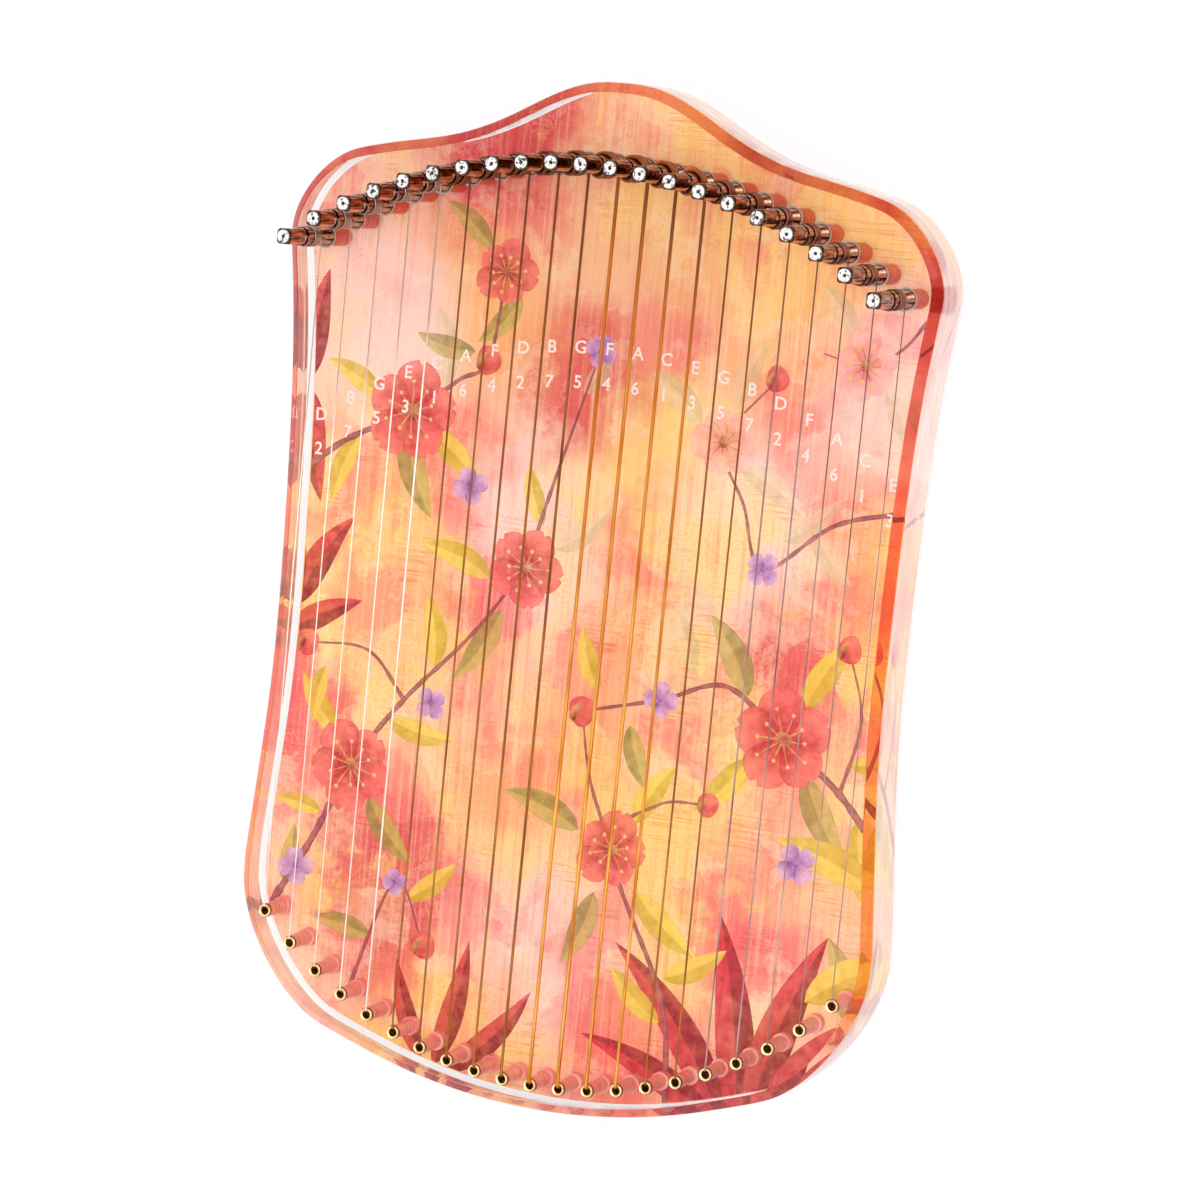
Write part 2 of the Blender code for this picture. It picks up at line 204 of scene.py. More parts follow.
def turned(bm, center, profile, sides, material=0, cap_low=False, cap_high=False):
    """A skin turned about the vertical line through center; profile is (radius, z) in order."""
    rings = [ring(center, radius, z, sides) for radius, z in profile]
    return skin(bm, rings, material, cap_low, cap_high)


def rounded(profile, radius):
    """Rounds the corners of a line of 2-D points, leaving its two ends."""
    profile = [np.array(point, float) for point in profile]
    points = [profile[0]]
    for before, corner, after in zip(profile, profile[1:], profile[2:]):
        start = corner + (before - corner) * radius / np.linalg.norm(before - corner)
        end = corner + (after - corner) * radius / np.linalg.norm(after - corner)
        for t in np.linspace(0, 1, 5):
            points.append((1 - t) ** 2 * start + 2 * t * (1 - t) * corner + t**2 * end)
    return points + [profile[-1]]


# Outline of the plate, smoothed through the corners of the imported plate


def periodic_spline(knots, count):
    """Points and unit tangents, evenly spread, of the smooth closed curve through knots."""
    total = len(knots)
    order = np.arange(total)
    rises = np.roll(knots, -1, axis=0) - knots
    steps = np.linalg.norm(rises, axis=1)
    slopes = rises / steps[:, None]
    matrix = np.diag(2 * (np.roll(steps, 1) + steps))
    matrix[order, order - 1] = np.roll(steps, 1)
    matrix[order, (order + 1) % total] = steps
    bend = np.linalg.solve(matrix, 6 * (slopes - np.roll(slopes, 1, axis=0)))
    ends = np.concatenate([[0.0], np.cumsum(steps)])
    along = np.arange(count) * ends[-1] / count
    i = np.clip(np.searchsorted(ends, along, side="right") - 1, 0, total - 1)
    j = (i + 1) % total
    h = steps[i][:, None]
    a, b = (ends[i + 1] - along)[:, None] / h, (along - ends[i])[:, None] / h
    points = a * knots[i] + b * knots[j] + ((a**3 - a) * bend[i] + (b**3 - b) * bend[j]) * h**2 / 6
    tangents = slopes[i] - (3 * a**2 - 1) / 6 * h * bend[i] + (3 * b**2 - 1) / 6 * h * bend[j]
    return points, tangents / np.linalg.norm(tangents, axis=1, keepdims=True)


def plate_outline():
    """The plate's outline, as fine points with their unit vectors into the plate."""
    points = node_points("sound_plate")
    rim = points[np.abs(points[:, 2] - (PLATE_FRONT - FRONT_CHAMFER)) < 2e-5][:, :2]
    rim = np.unique(np.round(rim, 6), axis=0)
    rim = rim[np.argsort(np.arctan2(rim[:, 1], rim[:, 0]))]
    outline, tangents = periodic_spline(rim, OUTLINE_POINTS)
    low, high = points.min(axis=0)[:2], points.max(axis=0)[:2]
    return np.clip(outline, low, high), np.stack([-tangents[:, 1], tangents[:, 0]], axis=1)


OUTLINE, INWARD = plate_outline()


def outline_ring(inset, z):
    return [(x, y, z) for x, y in OUTLINE + inset * INWARD]


def fill_between(bm, loops, up):
    """A flat face with holes: the first loop is its outline and the others are holes."""
    edges = []
    for loop in loops:
        for pair in zip(loop, loop[1:] + loop[:1]):
            edges.append(bm.edges.get(pair) or bm.edges.new(pair))
    made = bmesh.ops.triangle_fill(bm, use_beauty=True, edges=edges, normal=(0, 0, 1 if up else -1))
    for face in made["geom"]:
        if isinstance(face, bmesh.types.BMFace) and (face.normal.z > 0) != up:
            face.normal_flip()


# Node helpers


class Nodes:
    """Short calls for building the nodes of a new material, or of a tree that is given."""

    def __init__(self, name="", tree=None):
        if not tree:
            self.material = bpy.data.materials.new(name)
            self.material.use_nodes = True
            tree = self.material.node_tree
        self.tree = tree
        self.shader = tree.nodes.get("Principled BSDF")
        self.output = tree.nodes.get("Material Output") or tree.nodes.get("World Output")

    def add(self, kind, **settings):
        node = self.tree.nodes.new(kind)
        for key, value in settings.items():
            setattr(node, key, value)
        return node

    def put(self, socket, value):
        if isinstance(value, bpy.types.NodeSocket):
            self.tree.links.new(value, socket)
        elif socket.type == "RGBA" and len(value) == 3:
            socket.default_value = (*value, 1.0)
        else:
            socket.default_value = value

    def set(self, **values):
        for key, value in values.items():
            self.put(self.shader.inputs[key.replace("_", " ")], value)

    def place(self):
        return self.add("ShaderNodeTexCoord").outputs["Object"]

    def split(self, vector):
        node = self.add("ShaderNodeSeparateXYZ")
        self.put(node.inputs[0], vector)
        return node.outputs

    def vector(self, operation, a, b=(0.0, 0.0, 0.0), output="Vector"):
        node = self.add("ShaderNodeVectorMath", operation=operation)
        self.put(node.inputs[0], a)
        self.put(node.inputs[1], b)
        return node.outputs[output]

    def scaled(self, vector, scale):
        return self.vector("MULTIPLY", vector, scale)

    def shifted(self, vector, offset):
        return self.vector("ADD", vector, offset)

    def length(self, vector):
        return self.vector("LENGTH", vector, output="Value")

    def stretched(self, scale, detail, roughness=0.5):
        return self.noise(self.scaled(self.place(), scale), 1.0, detail, roughness)

    def noise(self, vector, scale, detail=3.0, roughness=0.5, output="Fac"):
        node = self.add("ShaderNodeTexNoise")
        self.put(node.inputs["Vector"], vector)
        node.inputs["Scale"].default_value = scale
        node.inputs["Detail"].default_value = detail
        node.inputs["Roughness"].default_value = roughness
        return node.outputs[output]

    def math(self, operation, a, b=0.0, clamp=False):
        node = self.add("ShaderNodeMath", operation=operation, use_clamp=clamp)
        self.put(node.inputs[0], a)
        self.put(node.inputs[1], b)
        return node.outputs[0]

    def times(self, a, b):
        return self.math("MULTIPLY", a, b)

    def ramp(self, value, low, high, out_low=0.0, out_high=1.0, smooth=False):
        node = self.add("ShaderNodeMapRange")
        if smooth:
            node.interpolation_type = "SMOOTHSTEP"
        self.put(node.inputs["Value"], value)
        node.inputs["From Min"].default_value = low
        node.inputs["From Max"].default_value = high
        node.inputs["To Min"].default_value = out_low
        node.inputs["To Max"].default_value = out_high
        return node.outputs["Result"]

    def mix(self, factor, a, b, blend="MIX"):
        node = self.add("ShaderNodeMix", data_type="RGBA", blend_type=blend)
        self.put(node.inputs[0], factor)
        self.put(node.inputs[6], a)
        self.put(node.inputs[7], b)
        return node.outputs[2]

    def mix_shaders(self, factor, a, b):
        node = self.add("ShaderNodeMixShader")
        for socket, value in zip(node.inputs, (factor, a, b)):
            self.put(socket, value)
        return node.outputs[0]

    def show(self, shader):
        self.put(self.output.inputs["Surface"], shader)

    def attribute(self, name):
        return self.add("ShaderNodeAttribute", attribute_name=name).outputs["Fac"]

    def bump(self, height, distance, strength=1.0):
        node = self.add("ShaderNodeBump")
        node.inputs["Strength"].default_value = strength
        node.inputs["Distance"].default_value = distance
        self.put(node.inputs["Height"], height)
        self.put(self.shader.inputs["Normal"], node.outputs["Normal"])


def srgb(*values):
    """A colour given as 0 to 255 on screen, as linear light."""
    parts = [value / 255 for value in values]
    return tuple(part / 12.92 if part <= 0.04045 else ((part + 0.055) / 1.055) ** 2.4 for part in parts)


def darker(color, share):
    return tuple(share * part for part in color)


# Materials of the plate


def acrylic_material(name="clear_acrylic"):
    """Clear cast acrylic: polished, with hair scratches. Light passes to what is behind it."""
    n = Nodes(name)
    place = n.place()
    scratches = n.stretched((900.0, 40.0, 40.0), 2.0)
    wear = n.noise(place, 60.0, 4.0)
    rough = n.times(n.ramp(scratches, 0.52, 0.75), n.ramp(wear, 0.45, 0.7))
    n.set(Base_Color=(1.0, 0.975, 0.97), Transmission_Weight=1.0, IOR=1.49)
    n.set(Specular_Tint=(0.3, 0.3, 0.3), Roughness=n.ramp(rough, 0.0, 1.0, 0.0, 0.05))
    n.bump(n.noise(place, 26.0, 2.0), 0.00003, 0.35)
    clear = n.add("ShaderNodeBsdfTransparent")
    n.put(clear.inputs["Color"], (0.985, 0.975, 0.97))
    shadow = n.add("ShaderNodeLightPath").outputs["Is Shadow Ray"]
    n.show(n.mix_shaders(shadow, n.shader.outputs[0], clear.outputs[0]))
    return n.material


def chamfer_material():
    """The front chamfer's polished edge, tinted warm: red above, orange below, clear at the bottom."""
    made = acrylic_material("tinted_chamfer")
    n = Nodes(tree=made.node_tree)
    place = n.place()
    wander = n.ramp(n.noise(place, 45.0, 3.0), 0.3, 0.7, -0.022, 0.022)
    height = n.math("ADD", n.split(place)["Y"], wander)
    tint = n.mix(n.ramp(height, -0.045, 0.025), (0.88, 0.24, 0.04), (0.76, 0.09, 0.05))
    tint = n.mix(n.ramp(height, 0.045, 0.085), tint, (0.45, 0.015, 0.01))
    tint = n.mix(n.ramp(height, 0.100, 0.125), tint, (0.74, 0.17, 0.09))
    tint = n.mix(n.ramp(height, -0.090, -0.118), tint, (1.0, 0.93, 0.92))
    n.set(Base_Color=tint)
    return made


def wall_material():
    """The plate's outer wall: acrylic with a pale haze left by the polishing."""
    made = acrylic_material("hazed_wall")
    n = Nodes(tree=made.node_tree)
    cloud = n.stretched((60.0, 60.0, 400.0), 4.0)
    haze = n.add("ShaderNodeBsdfDiffuse")
    n.put(haze.inputs["Color"], n.mix(cloud, (0.92, 0.84, 0.85), (0.98, 0.95, 0.96)))
    veiled = n.mix_shaders(n.ramp(cloud, 0.3, 0.7, 0.28, 0.42), n.shader.outputs[0], haze.outputs[0])
    n.put(n.output.inputs["Surface"].links[0].from_node.inputs[1], veiled)
    return made


def drilled_material(name, color, dark, scale):
    """The matt wall of a drilled or tapped hole, with fine turning marks."""
    n = Nodes(name)
    marks = n.stretched((120.0, 120.0, scale), 2.0)
    patches = n.noise(n.place(), 260.0, 2.0)
    shade = n.mix(n.ramp(marks, 0.35, 0.7), dark, color)
    n.set(Base_Color=n.mix(n.ramp(patches, 0.5, 0.75, 0.0, 0.20), shade, (0.95, 0.62, 0.52)))
    n.set(Roughness=n.ramp(marks, 0.3, 0.7, 0.25, 0.5))
    n.bump(marks, 0.00005, 0.6)
    return n.material


# The picture: a watercolour wash, as a group used by the film and by what is printed on it

WASH_TINTS = (
    srgb(250, 180, 110),
    srgb(255, 225, 215),
    srgb(245, 125, 110),
    srgb(255, 220, 130),
    srgb(240, 105, 110),
    srgb(250, 200, 150),
    srgb(220, 50, 70),
)
PAPER = srgb(253, 208, 176)
WASH_POOLS = 30
WASH_REACH = (0.098, 0.140)
GOLDEN_ANGLE = math.pi * (3.0 - math.sqrt(5.0))


def wash_pools():
    """Centre and half widths in millimetres, and colour, of pools laid out on a spiral."""
    for k in range(WASH_POOLS):
        reach = 1000.0 * math.sqrt((k + 0.5) / WASH_POOLS)
        turn = k * GOLDEN_ANGLE
        size = 28.0 + 8.0 * math.sin(2.7 * k)
        center = (WASH_REACH[0] * reach * math.cos(turn), WASH_REACH[1] * reach * math.sin(turn))
        yield center, (size, 1.25 * size), WASH_TINTS[k % len(WASH_TINTS)]


def wash_group():
    """Soft pools of colour with wandering edges, pigment grain and faint upright streaks."""
    group = bpy.data.node_groups.new("watercolour_wash", "ShaderNodeTree")
    group.interface.new_socket("Color", in_out="OUTPUT", socket_type="NodeSocketColor")
    group.interface.new_socket("Grain", in_out="OUTPUT", socket_type="NodeSocketFloat")
    n = Nodes(tree=group)
    out = n.add("NodeGroupOutput")
    place = n.scaled(n.place(), (1000.0, 1000.0, 0.0))
    warp = n.noise(place, 0.035, 5.0, 0.6, "Color")
    warp = n.scaled(n.shifted(warp, (-0.5, -0.5, -0.5)), (46.0, 46.0, 0.0))
    fine = n.noise(place, 0.3, 4.0, 0.65, "Color")
    fine = n.scaled(n.shifted(fine, (-0.5, -0.5, -0.5)), (7.0, 7.0, 0.0))
    spot = n.shifted(n.shifted(place, warp), fine)
    color = PAPER

    def lay(amount, tint, blend="MIX"):
        nonlocal color
        color = n.mix(amount, color, tint, blend)

    for (x, y), (wide, high), tint in wash_pools():
        local = n.scaled(n.shifted(spot, (-x, -y, 0.0)), (1 / wide, 1 / high, 0.0))
        reach = n.ramp(n.length(local), 1.25, 0.35, 0.0, 0.9, smooth=True)
        lay(reach, tint)
    # The paint lies calmer along the rows of notes, which stay readable there
    calm = n.scaled(n.shifted(place, (0.0, -62.0, 0.0)), (1 / 96, 1 / 34, 0.0))
    busy = n.ramp(n.length(calm), 0.65, 1.15, 0.15, 1.0)
    mottle = n.noise(n.shifted(spot, (31.0, 77.0, 0.0)), 0.036, 3.0, 0.5)
    lay(n.times(n.ramp(mottle, 0.51, 0.62, 0.0, 0.55), busy), srgb(244, 106, 118))
    lay(n.times(n.ramp(mottle, 0.48, 0.37, 0.0, 0.70), busy), srgb(255, 226, 130))
    patches = n.noise(place, 0.045, 3.0, 0.6)
    streaks = n.noise(n.scaled(place, (0.55, 0.012, 0.0)), 1.0, 3.0, 0.6)
    streaked = n.times(n.ramp(streaks, 0.50, 0.66, 0.0, 0.8), n.ramp(patches, 0.60, 0.45, 0.25, 1.0))
    lay(n.times(streaked, busy), (0.95, 0.66, 0.68), "MULTIPLY")
    pale = n.noise(n.scaled(n.shifted(place, (63.0, 11.0, 0.0)), (0.7, 0.02, 0.0)), 1.0, 3.0, 0.6)
    lay(n.ramp(pale, 0.5, 0.7, 0.0, 0.4), srgb(255, 232, 190))
    blooms = n.noise(spot, 0.06, 5.0, 0.7)
    lay(n.ramp(blooms, 0.52, 0.62, 0.0, 0.35), srgb(255, 236, 206))
    rim = n.math("ABSOLUTE", n.math("SUBTRACT", blooms, 0.52))
    rim = n.times(n.ramp(rim, 0.0, 0.012, 0.6, 0.0), busy)
    lay(rim, (0.94, 0.66, 0.66), "MULTIPLY")
    weave_up = n.noise(n.scaled(place, (2.6, 0.05, 0.0)), 1.0, 1.0)
    weave_across = n.noise(n.scaled(place, (0.05, 1.7, 0.0)), 1.0, 1.0)
    across = n.times(n.ramp(weave_across, 0.5, 0.62), n.ramp(patches, 0.54, 0.62, 0.0, 0.9))
    lay(n.times(across, busy), (0.90, 0.66, 0.60), "MULTIPLY")
    upright = n.times(n.ramp(weave_up, 0.5, 0.66), n.ramp(patches, 0.46, 0.38, 0.0, 0.8))
    lay(upright, (0.94, 0.72, 0.72), "MULTIPLY")
    grain = n.noise(place, 1.3, 5.0, 0.75)
    speckle = n.times(n.ramp(grain, 0.52, 0.72, 0.0, 0.9), busy)
    lay(speckle, (0.94, 0.62, 0.64), "MULTIPLY")
    lay(n.ramp(grain, 0.45, 0.25, 0.0, 0.3), srgb(255, 240, 214))
    n.put(out.inputs["Color"], color)
    n.put(out.inputs["Grain"], grain)
    return group


WASH_GROUP = wash_group()


def film_material():
    """The film: the wash in front and plain pale fibre at the back, told apart by the normal."""
    n = Nodes("picture_film")
    wash = n.add("ShaderNodeGroup", node_tree=WASH_GROUP)
    facing = n.split(n.add("ShaderNodeNewGeometry").outputs["Normal"])["Z"]
    fibres = n.noise(n.place(), 900.0, 3.0)
    back = n.mix(fibres, srgb(226, 222, 220), srgb(244, 241, 238))
    n.set(Base_Color=n.mix(n.ramp(facing, -0.5, 0.5, 1.0, 0.0), wash.outputs["Color"], back))
    n.set(Roughness=n.ramp(wash.outputs["Grain"], 0.3, 0.7, 0.5, 0.8), Specular_IOR_Level=0.2)
    return n.material


# Paints: dark and light colour, and how well each covers the wash
PAINTS = {
    "coral": (srgb(196, 8, 40), srgb(250, 118, 112), 1.0),
    "crimson": (srgb(140, 0, 26), srgb(222, 28, 62), 1.0),
    "gold": (srgb(206, 172, 30), srgb(248, 226, 84), 0.95),
    "heart": (srgb(160, 20, 42), srgb(250, 206, 120), 1.0),
    "lilac": (srgb(132, 66, 166), srgb(236, 192, 236), 1.0),
    "olive": (srgb(140, 128, 50), srgb(204, 190, 90), 0.9),
    "rose": (srgb(236, 96, 112), srgb(255, 196, 186), 0.75),
    "sage": (srgb(188, 182, 130), srgb(232, 224, 184), 0.6),
    "stem": (srgb(112, 22, 54), srgb(188, 84, 104), 0.95),
}


def print_material(paint):
    """Translucent paint on the film: the wash shows through, and its rim is darker."""
    dark, light, cover = PAINTS[paint]
    n = Nodes("print_" + paint)
    wash = n.add("ShaderNodeGroup", node_tree=WASH_GROUP)
    tone = n.attribute("tone")
    cloud = n.noise(n.scaled(n.place(), (1000.0, 1000.0, 0.0)), 0.28, 4.0, 0.6)
    blend = n.math("ADD", tone, n.ramp(cloud, 0.3, 0.7, -0.3, 0.3), clamp=True)
    speckle = n.ramp(wash.outputs["Grain"], 0.52, 0.72, 0.0, 0.3)
    color = n.mix(speckle, n.mix(blend, dark, light), darker(dark, 0.75))
    color = n.mix(n.ramp(n.attribute("edge"), 0.6, 1.0, 0.0, 0.35), color, darker(dark, 0.62))
    thin = n.ramp(n.math("ADD", cloud, n.times(tone, 0.2)), 0.3, 0.8, cover, cover - 0.25)
    n.set(Base_Color=n.mix(thin, wash.outputs["Color"], color))
    n.set(Roughness=n.ramp(cloud, 0.3, 0.7, 0.5, 0.75), Specular_IOR_Level=0.2)
    return n.material


# The plate and its film

PLAIN, TAPPED, DRILLED, CHAMFER, WALL, MOUTH = range(6)


def build_plate():
    """The plate. Its list of materials is in the order of the names PLAIN to MOUTH."""
    bm = bmesh.new()
    profile = rounded([
        (BACK_CHAMFER + 2 * EDGE_ROUND, PLATE_BACK),
        (BACK_CHAMFER, PLATE_BACK),
        (0.0, PLATE_BACK + BACK_CHAMFER),
        (0.0, PLATE_FRONT - FRONT_CHAMFER),
        (FRONT_CHAMFER, PLATE_FRONT),
        (FRONT_CHAMFER + 2 * EDGE_ROUND, PLATE_FRONT),
    ], EDGE_ROUND)
    rows = skin(bm, [outline_ring(inset, z) for inset, z in profile])
    tops, backs = [rows[-1]], [rows[0]]
    low = PLATE_BACK + PIN_HOLE_FLOOR
    wide = PIN_HOLE_RADIUS + PIN_HOLE_SINK
    mouth = [(wide, PLATE_FRONT), (PIN_HOLE_RADIUS, PLATE_FRONT - PIN_HOLE_SINK)]
    blind = [(PIN_HOLE_RADIUS, low + PIN_HOLE_CONE), (0.0004, low)]
    for center in PIN_PLACES:
        sunk = turned(bm, center, mouth, PIN_HOLE_SIDES, MOUTH)
        made = turned(bm, center, blind, PIN_HOLE_SIDES, TAPPED, cap_high=True)
        bridge(bm, sunk[-1], made[0], TAPPED)
        tops.append(sunk[0])
    step = PLATE_BACK + COUNTERBORE_DEPTH
    bore = [(BORE_RADIUS, PLATE_FRONT), (BORE_RADIUS, step), (COUNTERBORE_RADIUS, step)]
    bore.append((COUNTERBORE_RADIUS, PLATE_BACK))
    for center in HOLE_PLACES:
        made = turned(bm, center, bore, BORE_SIDES, DRILLED)
        tops.append(made[0])
        backs.append(made[-1])
    fill_between(bm, tops, True)
    fill_between(bm, backs, False)
    outward(bm)
    for face in bm.faces:
        face.smooth = abs(face.normal.z) < 0.999
        if face.material_index == PLAIN and face.smooth:
            if face.calc_center_median().z > PLATE_FRONT - FRONT_CHAMFER + EDGE_ROUND:
                face.material_index = CHAMFER
            elif abs(face.normal.z) < 0.1:
                face.material_index = WALL
    materials = [
        acrylic_material(),
        # The tapped wall's orange-red is a painted reflection of the red print on the sunken part of each
        # pin
        drilled_material("tapped_wall", srgb(240, 84, 30), srgb(184, 18, 22), 1800.0),
        drilled_material("drilled_wall", srgb(252, 190, 172), srgb(236, 128, 122), 900.0),
        chamfer_material(),
        wall_material(),
        # The mouth of each pin hole is painted near-white as a highlight
        drilled_material("hole_mouth_highlight", srgb(255, 250, 246), srgb(255, 236, 228), 900.0),
    ]
    plate = piece_from(bm, "acrylic_plate", materials, "sound_plate", sharp=None)
    plate.data.set_sharp_from_angle(angle=math.radians(30.0))


def build_film():
    bm = bmesh.new()
    low = FILM_TOP - FILM_THICKNESS
    rows = skin(bm, [outline_ring(FILM_INSET, low), outline_ring(FILM_INSET, FILM_TOP)])
    tops, backs = [rows[-1]], [rows[0]]
    for center in HOLE_PLACES:
        made = turned(bm, center, [(COUNTERBORE_RADIUS, FILM_TOP), (COUNTERBORE_RADIUS, low)], BORE_SIDES)
        tops.append(made[0])
        backs.append(made[-1])
    fill_between(bm, tops, True)
    fill_between(bm, backs, False)
    outward(bm)
    piece_from(bm, "printed_film", [film_material()], "picture_film", sharp=None)


# What is printed on the film: blossoms, leaves, stems and blades, in millimetres of the plate

PRINT_LAYER = 0.00001
PRINT_STEP = 0.0000004
# Places across a blade and a petal (-1 to 1), each with its edge value; a stem's have a tone too
BLADE_ROW = (
    (-1, 1), (-0.8, 0.25), (-0.55, 0), (-0.3, 0), (-0.05, 0),
    (0.05, 0), (0.3, 0), (0.55, 0), (0.8, 0.25), (1, 1),
)
PETAL_ROW = ((-1, 1), (-0.84, 0.3), (-0.4, 0), (0, 0), (0.4, 0), (0.84, 0.3), (1, 1))
STEM_ROW = ((-1, 1, 0.1), (0, 0, 0.6), (1, 0.5, 0.3))


class Print:
    """Flat shapes on the film, each with a tone (0 dark, 1 light) and an edge (1 at the rim)."""

    def __init__(self, layer):
        self.bm = bmesh.new()
        self.tone = self.bm.verts.layers.float.new("tone")
        self.edge = self.bm.verts.layers.float.new("edge")
        self.z = FILM_TOP + PRINT_LAYER * layer

    def grid(self, rows):
        """Rows of (x, y, tone, edge), joined into one strip."""
        made = []
        for row in rows:
            line = []
            for x, y, tone, edge in row:
                vert = self.bm.verts.new((x / 1000, y / 1000, self.z))
                vert[self.tone] = tone
                vert[self.edge] = edge
                line.append(vert)
            made.append(line)
        for lower, upper in zip(made, made[1:]):
            for i in range(len(lower) - 1):
                self.bm.faces.new((lower[i], lower[i + 1], upper[i + 1], upper[i]))
        self.z += PRINT_STEP

    def blade(self, start, angle, length, width, bend=0.0, fullness=0.45, tones=(0.2, 0.9), steps=14):
        """A pointed leaf or petal that sweeps through bend degrees, widest at fullness."""
        x, y = start
        power = math.log(0.5) / math.log(fullness)
        rows = []
        for i in range(steps + 1):
            t = i / steps
            heading = math.radians(angle + bend * (t - 0.5))
            if i:
                x += math.cos(heading) * length / steps
                y += math.sin(heading) * length / steps
            half = width / 2 * math.sin(math.pi * t**power) ** 0.85 if 0 < t < 1 else 0.02
            over, up = -half * math.sin(heading), half * math.cos(heading)
            lift = 0.35 * (t - 0.5)
            rows.append([(x + v * over, y + v * up, tones[v > 0] + lift, edge) for v, edge in BLADE_ROW])
        self.grid(rows)
        return x, y

    def petal(self, start, angle, length, width, tones):
        """A broad petal with a notched round end."""
        ahead, aside = math.cos(math.radians(angle)), math.sin(math.radians(angle))
        steps = 12
        rows = []
        for i in range(steps + 1):
            t = i / steps
            half = width / 2 * (math.sin(math.pi * min(1.0, t**1.5 * 0.96 + 0.02)) ** 0.6)
            row = []
            for v, edge in PETAL_ROW:
                reach = t * length * (1 - 0.10 * (1 - abs(v)) * t**4)
                x = start[0] + reach * ahead - half * v * aside
                y = start[1] + reach * aside + half * v * ahead
                tone = tones[0] + (tones[1] - tones[0]) * t + 0.12 * v
                row.append((x, y, tone, 1.0 if i == steps else edge))
            rows.append(row)
        self.grid(rows)

    def stem(self, points, width):
        """A tapering line through the points."""
        line = smooth_line([(x, y, 0.0) for x, y in points], 1.5)
        along = np.gradient(line, axis=0)
        along /= np.linalg.norm(along, axis=1, keepdims=True)
        rows = []
        for i, ((x, y, _), (ahead, aside, _)) in enumerate(zip(line, along)):
            t = i / (len(line) - 1)
            half = width / 2 * (1 - 0.65 * t) * (1 + 0.22 * math.sin(i * 1.7) * math.sin(i * 0.37))
            over, up = -half * aside, half * ahead
            rows.append([(x + v * over, y + v * up, tone, edge) for v, edge, tone in STEM_ROW])
        self.grid(rows)

    def disc(self, center, radius, tone, squash=1.0):
        x, y = center
        rows = []
        for share, edge in ((0.02, 0.0), (0.7, 0.0), (0.86, 0.3), (1.0, 1.0)):
            row = []
            for i in range(21):
                a = 2 * math.pi * i / 20
                reach = radius * share * (1 + 0.06 * math.sin(3 * a + x))
                light = tone + 0.25 * math.sin(a + 0.6) * share
                row.append((x + reach * math.cos(a), y + squash * reach * math.sin(a), light, edge))
            rows.append(row)
        self.grid(rows)

    def clip(self):
        """Draws what lies outside the film, or over a hole, to the film's edge and deletes the rest."""
        edge_points = OUTLINE + (FILM_INSET + 0.0003) * INWARD
        holes = np.array(HOLE_PLACES)
        moved = set()
        for vert in self.bm.verts:
            at = np.array(vert.co[:2])
            nearest = int(np.argmin(((edge_points - at) ** 2).sum(axis=1)))
            depth = (at - edge_points[nearest]) @ INWARD[nearest]
            if depth < 0:
                at = at - depth * INWARD[nearest]
                moved.add(vert)
            away = at - holes
            reach = np.linalg.norm(away, axis=1)
            closest = int(np.argmin(reach))
            if reach[closest] < COUNTERBORE_RADIUS:
                at = holes[closest] + away[closest] * (COUNTERBORE_RADIUS / max(reach[closest], 1e-6))
                moved.add(vert)
            vert.co.x, vert.co.y = at
        lost = [face for face in self.bm.faces if all(vert in moved for vert in face.verts)]
        bmesh.ops.delete(self.bm, geom=lost, context="FACES")

    def finish(self, name, paint):
        self.clip()
        self.bm.normal_update()
        for face in self.bm.faces:
            if face.normal.z < 0:
                face.normal_flip()
        piece_from(self.bm, "print_" + name, [print_material(paint)], sharp=None)


# Blossoms: x, y, reach of a petal, turn in degrees
BLOSSOMS = (
    (-57, 44, 13.5, 10), (33, 46, 9.5, 40), (-20, 6, 11.0, 63), (57, -30, 14.0, 25),
    (-66, -54, 12.5, 48), (12, -66, 10.5, 5), (70, 70, 9.5, 30), (-33, 84, 9.0, 70),
)
# Buds: x, y, radius
BUDS = (
    (-36, 60, 3.6), (46, 64, 3.2), (0, -30, 3.8), (73, -4, 3.4),
    (-82, -22, 3.4), (-40, -100, 3.6), (38, -50, 3.0),
)
# Lilac flowers: x, y, reach, turn in degrees
LILACS = (
    (-38, 26, 5.2, 20), (47, 14, 4.8, 50), (-80, -84, 5.4, 10), (64, -62, 5.6, 35),
    (-4, 66, 4.6, 70), (22, -24, 5.0, 0), (-44, -34, 4.6, 40), (-50, -84, 3.8, 15),
)
# Stems: points along each, and its width
STEMS = (
    (((-88, -98), (-76, -76), (-66, -54), (-52, -34), (-34, -14), (-20, 6)), 2.2),
    (((-52, -34), (-64, -22), (-82, -22)), 1.2),
    (((88, -58), (74, -42), (57, -30), (40, -18), (22, -24), (0, -30)), 2.2),
    (((74, -42), (78, -22), (73, -4)), 1.2),
    (((-90, 22), (-76, 34), (-57, 44), (-44, 54), (-36, 60), (-33, 84)), 1.9),
    (((88, 34), (66, 28), (47, 14), (40, 30), (33, 46), (46, 64)), 1.4),
    (((88, 88), (80, 76), (70, 70), (58, 72)), 1.0),
    (((34, -132), (30, -104), (12, -66), (24, -52), (38, -50)), 1.8),
    (((-20, 6), (-14, 30), (-4, 66)), 1.3),
    (((-62, -118), (-50, -84), (-40, -100)), 1.2),
    (((12, -66), (4, -48), (0, -30)), 1.3),
)
